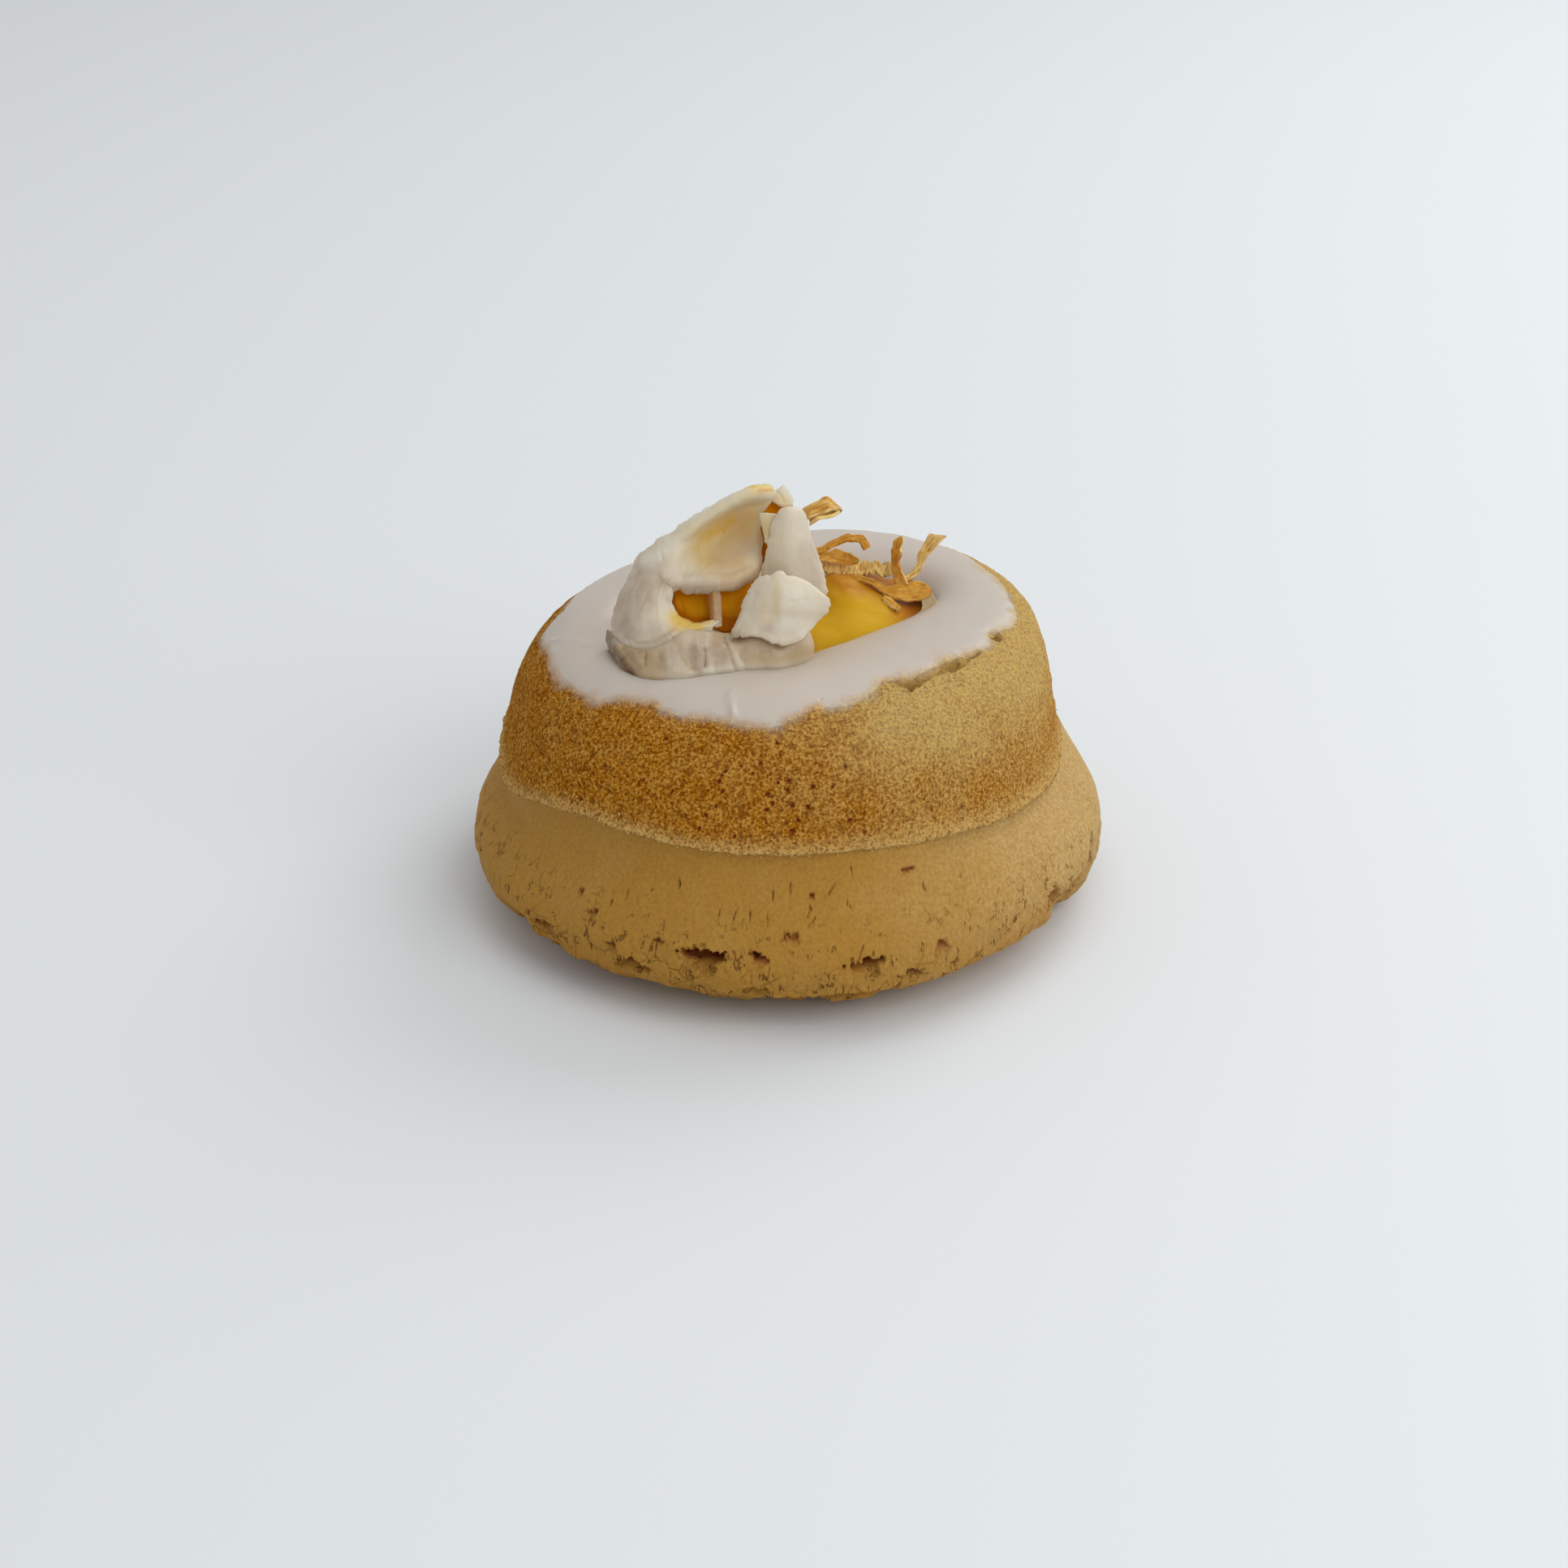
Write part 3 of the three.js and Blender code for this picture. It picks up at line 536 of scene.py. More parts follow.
# Shader nodes and shared effects


class Nodes:
    """Adds nodes to one tree. An input is a value or the output of another node."""

    def __init__(self, tree):
        self.tree = tree

    def feed(self, socket, value):
        """Link a node's output to a socket, or set the value on the socket itself."""
        if isinstance(value, bpy.types.NodeSocket):
            self.tree.links.new(value, socket)
        elif socket.type == "RGBA":
            socket.default_value = (*value, 1.0)[:4]
        else:
            socket.default_value = value

    def put(self, kind, inputs, **settings):
        node = self.tree.nodes.new("ShaderNode" + kind)
        for key, value in settings.items():
            setattr(node, key, value)
        for key, value in inputs.items():
            self.feed(node.inputs[key], value)
        return node.outputs

    def maths(self, operation, a, b=0.5, clamp=False):
        return self.put("Math", {0: a, 1: b}, operation=operation, use_clamp=clamp)[0]

    def plus(self, a, b, clamp=False):
        return self.maths("ADD", a, b, clamp)

    def times(self, a, b, clamp=False):
        return self.maths("MULTIPLY", a, b, clamp)

    def most(self, a, b):
        return self.maths("MAXIMUM", a, b)

    def mix(self, amount, a, b):
        return self.put("Mix", {0: amount, 6: a, 7: b}, data_type="RGBA")[2]

    def remap(self, value, low, high, to_low=0.0, to_high=1.0):
        inputs = {"Value": value, 1: low, 2: high, 3: to_low, 4: to_high}
        return self.put("MapRange", inputs)[0]

    def field(self, name):
        return self.put("Attribute", {}, attribute_name=name)["Fac"]

    def spot(self):
        return self.put("TexCoord", {})["Object"]

    def stretched(self, spot, sizes):
        return self.put("VectorMath", {0: spot, 1: sizes}, operation="MULTIPLY")[0]

    def grain(self, spot, scale, detail, roughness=0.5):
        inputs = {"Vector": spot, "Scale": scale, "Detail": detail, "Roughness": roughness}
        return self.put("TexNoise", inputs)[0]

    def effect(self, name, **inputs):
        """Place a shared effect with its own values; it is built the first time."""
        group = bpy.data.node_groups.get(name) or EFFECTS[name]()
        inputs = {key.replace("_", " "): value for key, value in inputs.items()}
        return self.put("Group", inputs, node_tree=group)


class Effect(Nodes):
    """A shader group with number and colour inputs; deliver() fills its outputs."""

    def __init__(self, name, numbers, colours=()):
        super().__init__(bpy.data.node_groups.new(name, "ShaderNodeTree"))
        for label, default in numbers:
            self.socket(label, "INPUT", "Float").default_value = default
        for label in colours:
            self.socket(label, "INPUT", "Color")
        self.given = self.tree.nodes.new("NodeGroupInput").outputs

    def socket(self, label, way, kind):
        kind = "NodeSocket" + kind
        return self.tree.interface.new_socket(name=label, in_out=way, socket_type=kind)

    def deliver(self, **outputs):
        for label in outputs:
            self.socket(label, "OUTPUT", "Color" if label == "Color" else "Float")
        end = self.tree.nodes.new("NodeGroupOutput")
        for label, value in outputs.items():
            self.feed(end.inputs[label], value)
        return self.tree


def crumb_group():
    """Fine baked crumb: painted highlights on the grains, painted shade in gaps and pores, slow
    browning.
    """
    numbers = (("Toast", 0.5), ("Gap", 0.0), ("Scale", 2600.0), ("Contrast", 1.0))
    n = Effect("baked_crumb", numbers, ("Pale", "Brown", "Tip", "Dark"))
    spot, given = n.spot(), n.given
    grain = n.grain(spot, given["Scale"], 5.0, 0.68)
    bubble = n.put("TexVoronoi", {"Vector": spot, "Scale": 1500.0})
    some = n.remap(bubble["Color"], 0.55, 0.62)
    # Painted shade: the tiny pores are darkened.
    holes = n.times(n.remap(n.plus(bubble["Distance"], grain), 0.82, 0.64), some)
    patch = n.remap(n.grain(spot, 260.0, 3.0), 0.3, 0.7, -0.14, 0.14)
    toast = n.plus(given["Toast"], patch, True)
    tone = n.mix(toast, given["Pale"], given["Brown"])
    # Painted highlight on the tops of the grains.
    tips = n.times(n.remap(grain, 0.5, 0.61), given["Contrast"])
    lit = n.times(tips, n.remap(toast, 0.0, 1.0, 0.85, 0.55))
    tone = n.mix(lit, tone, given["Tip"])
    # Painted shade in the gaps between the grains and in the tiny pores.
    gaps = n.most(n.most(given["Gap"], n.remap(grain, 0.5, 0.4)), holes)
    dark = n.times(gaps, n.times(given["Contrast"], n.remap(toast, 0.0, 1.0, 0.35, 0.9)))
    height = n.maths("SUBTRACT", grain, n.times(holes, 0.15))
    return n.deliver(Color=n.mix(dark, tone, given["Dark"]), Height=height)


def mottle_group():
    """Slow patches and fine specks of tone."""
    n = Effect("mottle", (("Scale", 120), ("Speck Scale", 1500)))
    spot = n.spot()
    patches = n.grain(spot, n.given["Scale"], 3.0, 0.55)
    specks = n.grain(spot, n.given["Speck Scale"], 2.0)
    return n.deliver(Patches=n.remap(patches, 0.3, 0.7), Specks=n.remap(specks, 0.35, 0.65))


def skin_group():
    """Faint wrinkles and fine grain of a skin, drawn out along one direction."""
    n = Effect("fine_skin", (("Scale", 300), ("Stretch", 1)))
    spot = n.spot()
    sizes = n.put("CombineXYZ", {"X": 1.0, "Y": 1.0, "Z": n.given["Stretch"]})[0]
    folds = n.grain(n.stretched(spot, sizes), n.given["Scale"], 4.0)
    return n.deliver(Height=n.plus(folds, n.times(n.grain(spot, 2200.0, 2.0), 0.3)))


EFFECTS = {"baked_crumb": crumb_group, "mottle": mottle_group, "fine_skin": skin_group}


def upright_cracks(n, spot, scale, wide):
    """Short upright cracks, which wander and break off."""
    ridge = n.grain(n.stretched(spot, (1.0, 1.0, 0.2)), scale, 3.0, 0.6)
    away = n.maths("ABSOLUTE", n.maths("SUBTRACT", ridge, 0.5))
    gate = n.remap(n.grain(spot, scale * 0.9, 1.0), 0.58, 0.62)
    return n.times(n.remap(away, wide, wide * 0.35), gate)


def hairline_net(n, spot, scale, wide, bend):
    """A net of hairline cracks."""
    warp = n.put("TexNoise", {"Vector": spot, "Scale": 620.0, "Detail": 2.0})["Color"]
    push = n.put("VectorMath", {0: warp, "Scale": bend}, operation="SCALE")[0]
    moved = n.put("VectorMath", {0: spot, 1: push}, operation="ADD")[0]
    inputs = {"Vector": n.stretched(moved, (1.0, 1.0, 0.22)), "Scale": scale}
    web = n.put("TexVoronoi", inputs, feature="DISTANCE_TO_EDGE")["Distance"]
    gate = n.remap(n.grain(spot, 420.0, 1.0), 0.53, 0.58)
    return n.times(n.remap(web, wide, wide * 0.3), gate)


# Materials


class Material(Nodes):
    """A material with one Principled shader; keyword names are the shader's sockets."""

    def __init__(self, name, **shader):
        self.data = bpy.data.materials.new(name)
        self.data.use_nodes = True
        super().__init__(self.data.node_tree)
        self.sockets = self.tree.nodes["Principled BSDF"].inputs
        for key, value in shader.items():
            self.feed(self.sockets[key.replace("_", " ")], value)

    def finish(self, tone, height=None, distance=0.0003, strength=1.0):
        """Colour the surface, raise its finest relief and hand the material over."""
        self.feed(self.sockets["Base Color"], tone)
        if height is not None:
            inputs = {"Height": height, "Distance": distance, "Strength": strength}
            self.feed(self.sockets["Normal"], self.put("Bump", inputs)[0])
        return self.data


def crumb_tones(m, gap):
    """The crumb in the colours of the crust, for the crust and where the icing lets it through."""
    c = bpy.context.scene.mochi_colours
    return m.effect(
        # The toast field carries browning mixed with painted light, paler on the lit right.
        "baked_crumb", Toast=m.field("toast"), Gap=gap, Pale=c.crust_pale, Brown=c.crust_brown,
        Tip=c.crumb_light, Dark=c.crumb_gap_shade,
    )


def grainy(m, amount, poke):
    """Break up the soft edge of a field, so that it follows the grain of the crumb."""
    return m.plus(amount, m.times(poke, m.times(amount, 3.0, True)), True)


def crust_material():
    c = bpy.context.scene.mochi_colours
    m = Material(
        "baked_crust", Roughness=0.85, Subsurface_Weight=0.04, Subsurface_Scale=0.0006,
        Specular_IOR_Level=0.03,
    )
    crumb = crumb_tones(m, m.field("gap"))
    grain = crumb["Height"]
    lip = m.times(m.field("lip"), m.remap(grain, 0.4, 0.54, 0.25, 1.0))
    tone = m.mix(lip, crumb["Color"], c.lip)
    # Painted shade in the hollow of the broken edge.
    tone = m.mix(m.field("hollow"), tone, c.hollow)
    # Painted shade at the bottom of the pores.
    tone = m.mix(m.field("pore"), tone, c.pore)
    sugar = grainy(m, m.field("sugar"), m.remap(grain, 0.42, 0.6, 0.12, -0.12))
    return m.finish(m.mix(sugar, tone, c.icing), grain, 0.0006, 0.9)


def band_material():
    c = bpy.context.scene.mochi_colours
    m = Material(
        "risen_band", Roughness=0.65, Subsurface_Weight=0.06, Subsurface_Scale=0.0015,
        Specular_IOR_Level=0.1,
    )
    spot = m.spot()
    skin = m.effect("fine_skin", Scale=1200.0, Stretch=0.5)
    mottle = m.effect("mottle", Scale=110.0, Speck_Scale=2200.0)
    # Painted light: the field pale makes the band paler on its lit right side.
    side = m.plus(m.field("pale"), m.remap(mottle["Patches"], 0, 1, -0.12, 0.12), True)
    tone = m.mix(side, c.band, c.band_lit_side)
    tone = m.mix(m.times(mottle["Specks"], 0.55), tone, c.band_grain)
    tone = m.mix(m.field("toast"), tone, c.band_toast)
    tall = m.most(upright_cracks(m, spot, 420.0, 0.022), upright_cracks(m, spot, 700.0, 0.017))
    tall = m.times(tall, m.field("dry"))
    net = m.times(hairline_net(m, spot, 480.0, 0.024, 0.0009), m.field("foot"))
    fine = m.most(m.times(tall, 0.9), m.times(net, 0.4))
    # Painted shade: the cracks, seams and hairlines are darkened.
    tone = m.mix(m.most(m.field("crack"), fine), tone, c.crack)
    # Painted shade inside the tears.
    tone = m.mix(m.field("tear"), tone, c.tear)
    height = m.maths("SUBTRACT", m.times(skin["Height"], 0.6), fine)
    return m.finish(tone, height, 0.0003, 0.85)


def icing_material():
    c = bpy.context.scene.mochi_colours
    m = Material(
        "sugar_icing", Roughness=0.42, Subsurface_Weight=0.25, Subsurface_Scale=0.003,
        Coat_Weight=0.08,
    )
    crumb = crumb_tones(m, 0.0)
    skin = m.effect("fine_skin", Scale=200.0, Stretch=1.0)
    mottle = m.effect("mottle", Scale=80.0, Speck_Scale=900.0)
    tone = m.mix(mottle["Patches"], c.icing, c.icing_warm)
    tone = m.mix(m.times(mottle["Specks"], 0.12), tone, c.icing_shade)
    soaked = grainy(m, m.field("soak"), m.remap(crumb["Height"], 0.42, 0.6, -0.12, 0.12))
    tone = m.mix(soaked, tone, crumb["Color"])
    # Painted shade in a ring on the inner slope of the well.
    tone = m.mix(m.field("painted_well_shade"), tone, c.icing_well_shade)
    height = m.plus(m.times(skin["Height"], 0.25), m.times(soaked, crumb["Height"]))
    return m.finish(tone, height, 0.0004, 0.6)


def filling_material():
    c = bpy.context.scene.mochi_colours
    m = Material(
        "yellow_filling", Roughness=0.34, Subsurface_Weight=0.2, Subsurface_Scale=0.002,
        Subsurface_Radius=(1.0, 0.5, 0.12), Coat_Weight=0.03, Specular_IOR_Level=0.08,
        Specular_Tint=(1.0, 0.72, 0.25),
    )
    skin = m.effect("fine_skin", Scale=220.0, Stretch=3.0)
    mottle = m.effect("mottle", Scale=130.0, Speck_Scale=700.0)
    tone = m.mix(m.times(mottle["Patches"], 0.5), c.filling, c.filling_pale)
    # Painted shade: amber and deep darken the filling where it lies in shade.
    tone = m.mix(m.field("amber"), tone, c.amber)
    tone = m.mix(m.field("deep"), tone, c.amber_shade)
    return m.finish(tone, skin["Height"], 0.0003, 0.5)


def amber_material():
    c = bpy.context.scene.mochi_colours
    m = Material(
        "amber_skin", Roughness=0.35, Subsurface_Weight=0.15, Subsurface_Scale=0.0015,
        Subsurface_Radius=(1.0, 0.35, 0.05), Specular_IOR_Level=0.08, Specular_Tint=(1.0, 0.6, 0.1),
    )
    mottle = m.effect("mottle", Scale=240.0, Speck_Scale=900.0)
    skin = m.effect("fine_skin", Scale=260.0, Stretch=0.4)
    # Painted shade towards the lower edge of each pane.
    shade = m.remap(m.field("across"), 0.62, 0.95)
    shade = m.plus(shade, m.remap(mottle["Patches"], 0, 1, -0.2, 0.3), True)
    tone = m.mix(shade, c.amber_window, c.amber_shade)
    # Painted highlight: warm brightens upright streaks to the gold of the filling.
    tone = m.mix(m.field("warm"), tone, c.filling)
    # Painted shade along the lower rims.
    tone = m.mix(m.field("deep"), tone, c.amber_shade)
    return m.finish(tone, skin["Height"], 0.0003, 0.4)


def torn_tones(m, tone, warm, deep):
    """The painted tones of a torn surface over its base colour, some of them painted shade and
    highlights.
    """
    c = bpy.context.scene.mochi_colours
    shades = {"wet": c.fruit_grey_and_shade, "pale": c.fruit_pale_and_highlight, "warm": warm, "deep": deep}
    for name, shade in shades.items():
        tone = m.mix(m.field(name), tone, shade)
    return tone


def fruit_material():
    c = bpy.context.scene.mochi_colours
    m = Material(
        "torn_fruit", Roughness=0.45, Subsurface_Weight=0.4, Subsurface_Scale=0.0015,
        Subsurface_Radius=(1.0, 0.75, 0.45), Coat_Weight=0.08, Specular_IOR_Level=0.35,
    )
    skin = m.effect("fine_skin", Scale=520.0, Stretch=0.5)
    mottle = m.effect("mottle", Scale=210.0, Speck_Scale=1300.0)
    tone = m.mix(mottle["Patches"], c.fruit, c.fruit_cream)
    tone = torn_tones(m, tone, c.fruit_yellow, c.fruit_orange_and_shade)
    return m.finish(tone, skin["Height"], 0.00015, 0.35)


def pulp_material():
    c = bpy.context.scene.mochi_colours
    m = Material(
        "clear_pulp", Roughness=0.28, IOR=1.38, Transmission_Weight=0.1, Subsurface_Weight=0.4,
        Subsurface_Scale=0.002, Subsurface_Radius=(1.0, 0.8, 0.6), Coat_Weight=0.3,
        Coat_Roughness=0.12, Specular_IOR_Level=0.35,
    )
    skin = m.effect("fine_skin", Scale=420.0, Stretch=0.3)
    mottle = m.effect("mottle", Scale=280.0, Speck_Scale=1500.0)
    tone = torn_tones(m, m.mix(mottle["Patches"], c.pulp, c.pulp_pale), c.pulp_warm, c.pulp_brown_and_shade)
    return m.finish(tone, skin["Height"], 0.0004, 0.5)


def shred_material():
    c = bpy.context.scene.mochi_colours
    m = Material(
        "fried_shred", Roughness=0.5, Subsurface_Weight=0.15, Subsurface_Scale=0.001,
        Specular_IOR_Level=0.15, Specular_Tint=(1.0, 0.8, 0.5),
    )
    skin = m.effect("fine_skin", Scale=1100.0, Stretch=0.35)
    mottle = m.effect("mottle", Scale=420.0, Speck_Scale=2400.0)
    tone = m.mix(mottle["Patches"], c.shred, c.shred_gold)
    tone = m.mix(m.times(mottle["Specks"], 0.4), tone, c.shred_dark)
    tone = m.mix(m.field("edge"), tone, c.shred_pale)
    tone = m.mix(m.field("burnt"), tone, c.shred_dark)
    return m.finish(tone, skin["Height"], 0.0002, 0.7)


def crumb_material():
    c = bpy.context.scene.mochi_colours
    m = Material("loose_crumb", Roughness=0.8, Specular_IOR_Level=0.12)
    mottle = m.effect("mottle", Scale=700.0, Speck_Scale=3000.0)
    return m.finish(m.mix(mottle["Patches"], c.lip, c.crust_pale), mottle["Specks"], 0.0001, 0.6)


def floor_material():
    c = bpy.context.scene.mochi_colours
    m = Material("studio_floor", Roughness=0.6)
    mottle = m.effect("mottle", Scale=6.0, Speck_Scale=60.0)
    return m.finish(m.mix(m.times(mottle["Patches"], 0.12), c.floor, c.floor_shade))


# Settings


def length(label, text, default):
    return bpy.props.FloatProperty(
        name=label, description=text, default=default, min=0.0, unit="LENGTH", subtype="DISTANCE"
    )


def tint(label, text, default):
    return bpy.props.FloatVectorProperty(
        name=label, description=text, default=default, min=0.0, max=1.0, size=3, subtype="COLOR"
    )


def plain(label, text, default, high):
    return bpy.props.FloatProperty(
        name=label, description=text, default=default, min=0.0, max=high, subtype="FACTOR"
    )


def whole(label, text, default):
    return bpy.props.IntProperty(name=label, description=text, default=default, min=0)


class MochiDough(bpy.types.PropertyGroup):
    band_radius: length("Band radius", "Widest radius of the risen band", 0.042)
    foot_radius: length("Foot radius", "Radius of the flat underside", 0.0305)
    seam_radius: length("Seam radius", "Radius of the band just under the seam", 0.0367)
    crust_radius: length("Crust radius", "Radius of the moulded crust above its lip", 0.0362)
    seam_height: length("Seam height", "Height of the seam between band and crust", 0.0224)
    crest_height: length("Crest height", "Height of the top of the ring", 0.0383)
    crumb_depth: length("Crumb depth", "Depth of the gaps between the grains of the crust", 0.00018)
    pore_depth: length("Pore depth", "Depth of the round pores in the crust", 0.0004)
    crack_depth: length("Crack depth", "Depth of the fine cracks in the band", 0.0004)
    pores: whole("Pores", "Number of further pores in the crust", 70)
    cracks: whole("Cracks", "Number of further cracks in the band", 110)
    seed: whole("Seed", "Seed for pores, cracks and crumbs", 7)


class MochiTopping(bpy.types.PropertyGroup):
    icing_thickness: length("Icing thickness", "Thickness of the icing over the crest", 0.0009)
    petal_thickness: length("Petal thickness", "Thickness of the torn fruit", 0.00055)
    pulp_thickness: length("Pulp thickness", "Thickness of the ribbed pulp", 0.0009)
    shred_thickness: length("Shred thickness", "Thickness of the fried shreds", 0.00045)
    crumb_size: length("Crumb size", "Size of the loose crumbs on the lip", 0.00017)
    crumb_density: plain("Crumb density", "Loose crumbs for each square mm of the lip", 0.4, 50)


class MochiColours(bpy.types.PropertyGroup):
    crust_pale: tint("Pale crust", "Crust where it is least baked", (0.69, 0.455, 0.16))
    crust_brown: tint("Brown crust", "Crust where it is most baked", (0.54, 0.195, 0.004))
    crumb_light: tint("Light crumb", "Lit grains of the crust", (0.86, 0.54, 0.14))
    # Painted shade in the gaps between the grains.
    crumb_gap_shade: tint("Crumb gaps", "Gaps between the grains", (0.24, 0.06, 0.003))
    # Painted shade at the bottom of the pores.
    pore: tint("Pores", "Bottom of the round pores", (0.36, 0.06, 0.02))
    lip: tint("Lip", "Pale crumbly lip at the seam", (0.78, 0.49, 0.16))
    band: tint("Band", "Skin of the risen band", (0.465, 0.24, 0.042))
    # Painted shade in the broken edge beside the icing.
    hollow: tint("Hollow", "Inside of the broken edge beside the icing", (0.36, 0.2, 0.05))
    # Painted light: colour of the band on its lit right side.
    band_lit_side: tint("Light band", "Paler patches of the band", (0.57, 0.38, 0.15))
    band_grain: tint("Band grain", "Fine specks in the band", (0.36, 0.17, 0.024))
    band_toast: tint("Toasted band", "Browned lower edge of the band", (0.4, 0.17, 0.012))
    # Painted shade in the cracks.
    crack: tint("Cracks", "Fine cracks in the band", (0.18, 0.065, 0.01))
    # Painted shade inside the tears, the torn lower edge and the pits.
    tear: tint("Tears", "Inside of the torn places", (0.21, 0.024, 0.009))
    icing: tint("Icing", "Sugar icing", (0.6, 0.525, 0.455))
    icing_warm: tint("Warm icing", "Warmer patches of the icing", (0.585, 0.495, 0.405))
    icing_shade: tint("Icing shade", "Faint specks in the icing", (0.6, 0.5, 0.43))
    # Painted shade on the inner slope of the well.
    icing_well_shade: tint("Soaked icing", "Thin icing, crust showing through", (0.52, 0.38, 0.22))
    filling: tint("Filling", "Yellow filling", (0.62, 0.34, 0.01))
    filling_pale: tint("Pale filling", "Paler patches of the filling", (0.72, 0.46, 0.045))
    # Painted shade on the filling under the fruit and the shreds and at its right end.
    amber: tint("Amber", "Orange parts of the filling", (0.46, 0.17, 0.005))
    amber_window: tint("Amber skin", "Glossy skin behind the opening", (0.75, 0.28, 0.003))
    # Painted shade at the darkest places of the filling and of the amber skin.
    amber_shade: tint("Deep amber", "Darkest parts of the amber", (0.36, 0.095, 0.002))
    fruit: tint("Fruit", "Pale torn fruit", (0.67, 0.59, 0.47))
    fruit_cream: tint("Creamy fruit", "Creamier patches of the fruit", (0.7, 0.6, 0.43))
    fruit_yellow: tint("Yellow fruit", "Yellow hollow of the fruit", (0.74, 0.5, 0.1))
    # Greyish wet flesh, also used as painted shade on the left lobe of the hood.
    fruit_grey_and_shade: tint("Wet fruit", "Greyish, wetter parts of the fruit", (0.43, 0.33, 0.24))
    # Orange depths and edges, also used as painted shade in the hood's hollow and under the tip.
    fruit_orange_and_shade: tint("Deep fruit", "Orange depths and edges of the fruit", (0.46, 0.2, 0.03))
    # Palest, driest flesh, also used as painted highlights on lit rims and on the glossy pulp.
    fruit_pale_and_highlight: tint("Pale fruit", "Palest, driest parts of the fruit", (0.78, 0.74, 0.64))
    pulp: tint("Pulp", "Half-clear ribbed pulp", (0.6, 0.445, 0.275))
    pulp_pale: tint("Pale pulp", "Paler ribs of the pulp", (0.7, 0.575, 0.42))
    pulp_warm: tint("Warm pulp", "Yellow end of the pulp", (0.58, 0.4, 0.18))
    # Brown edges and seams, also used as painted shade between pulp and icing and on the flap's
    # inner edge.
    pulp_brown_and_shade: tint("Brown pulp", "Brown edges and seams of the pulp", (0.15, 0.065, 0.014))
    shred: tint("Shreds", "Fried shreds", (0.6, 0.265, 0.025))
    shred_gold: tint("Golden shreds", "Golden parts of the shreds", (0.74, 0.42, 0.07))
    shred_dark: tint("Dark shreds", "Darkest fibres of the shreds", (0.34, 0.09, 0.006))
    shred_pale: tint("Shred edges", "Pale dry edges of the shreds", (0.86, 0.64, 0.26))
    floor: tint("Floor", "Pale studio floor", (0.8, 0.82, 0.83))
    floor_shade: tint("Floor shade", "Faint unevenness of the floor", (0.75, 0.77, 0.78))


# Crust


def browning_and_side_light(s, a, p):
    """Browning mixed with painted light: deep on the shaded left and low in front, pale high on the
    lit right.
    """
    deg = degrees(a)
    front = ramp(256, 311, deg) * (1 - ramp(372, 500, deg))
    pale = front + (deg < 150) * (1 - ramp(30, 150, deg))
    high = ramp(3.12, 3.55, s + 0.06 * noise(p, 6.0, 8))
    tone = 1 - pale * (0.36 + 0.64 * high) - 0.12 * ramp(3.5, 3.75, s)
    return np.clip(tone + 0.1 * layers(p, 8.0, 3, 5), 0, 1)


def stamps(p, places):
    """Distance from every point to the nearest of the given places, over each place's radius."""
    best = np.full(p.shape[:2], 9.0)
    for s, azimuth, radius in places:
        away = np.linalg.norm(p - body(s, math.radians(azimuth)), axis=-1)
        best = np.minimum(best, away / radius)
    return best


def scattered_pores(d):
    """More pores of the same kind, most of them low on the front and on the back."""
    random = np.random.default_rng(d.seed)
    places = list(PORES)
    for _ in range(d.pores):
        azimuth = random.normal(265, 38) if random.random() < 0.6 else random.normal(105, 50)
        places.append((3.05 + 0.5 * random.random() ** 1.3, azimuth, random.uniform(0.12, 0.21)))
    return places


def crevice(s, a, p):
    """Broken edge of the crust beside the icing: how deep it is cut, how far its lip stands up."""
    deg = degrees(a)
    lip = along_knots(deg, CREVICE) + 0.018 * noise(p, 1.3, 81) + 0.01 * noise(p, 0.5, 87)
    on = ramp(295, 298, deg) * (1 - ramp(329, 331, deg))
    reach = glaze_edge(a) + 0.02 + 0.035 * noise(p, 1.6, 82) + 0.015 * noise(p, 0.8, 84) - lip
    place = (s - lip) / np.maximum(reach, 0.02)
    deep = 0.75 + 0.4 * noise(p, 1.3, 83) + 0.2 * noise(p, 0.6, 88)
    cut = on * ramp(-0.06, 0.07, place) * (1 - ramp(0.1, 1.1, place)) * deep
    for place, azimuth, wide, depth in BITES:
        rel = p - body(place, math.radians(azimuth))
        r = np.linalg.norm(rel, axis=-1) / (wide * (1 + 0.35 * noise(p, 1.2, 85)))
        bite = ramp(1.0, 0.55, r) * np.clip(0.75 - rel[..., 2] / wide * 0.6, 0, 1)
        cut = np.maximum(cut, depth * bite)
    return cut, 0.12 * on * bump(s, lip - 0.025, 0.022)


def crust_relief(s, a, p, d):
    """Height of the crumb over the smooth crust, and the fields that its material reads."""
    # toast is partly browning and partly painted light: paler on the lit right, darker on the
    # shaded left.
    toast = browning_and_side_light(s, a, p)
    grain = noise(p, 0.42, 41) + 0.6 * noise(p, 0.85, 42)
    # gap deepens the gaps between the grains and darkens them with painted shade.
    gap = ramp(-0.2, -0.95, grain) * (0.3 + 0.7 * toast)
    # pore deepens the pores and darkens them with painted shade.
    pore = ramp(1.0, 0.62, stamps(p, scattered_pores(d)) * (1 + 0.25 * noise(p, 0.5, 43)))
    lip = bump(s, 3.0, 0.055)
    cut, proud = crevice(s, a, p)
    height = 0.1 * layers(p, 7.0, 2, 3) + 0.075 * noise(p, 1.7, 19) + 0.05 * grain
    height = height - 0.05 * (1 - toast) * ramp(0.1, 0.8, noise(p, 1.3, 20))
    height = height - d.crumb_depth * 1000 * gap - d.pore_depth * 1000 * pore
    height = height + lip * (0.2 * noise(p, 1.4, 51) + 0.16 * noise(p, 0.5, 52))
    # hollow darkens the cut of the broken edge: painted shade.
    hollow = np.clip(cut * 1.1, 0, 1)
    fields = {"toast": toast, "gap": 0.75 * gap, "pore": pore, "lip": lip, "hollow": hollow}
    return height - 1.05 * cut + proud, fields


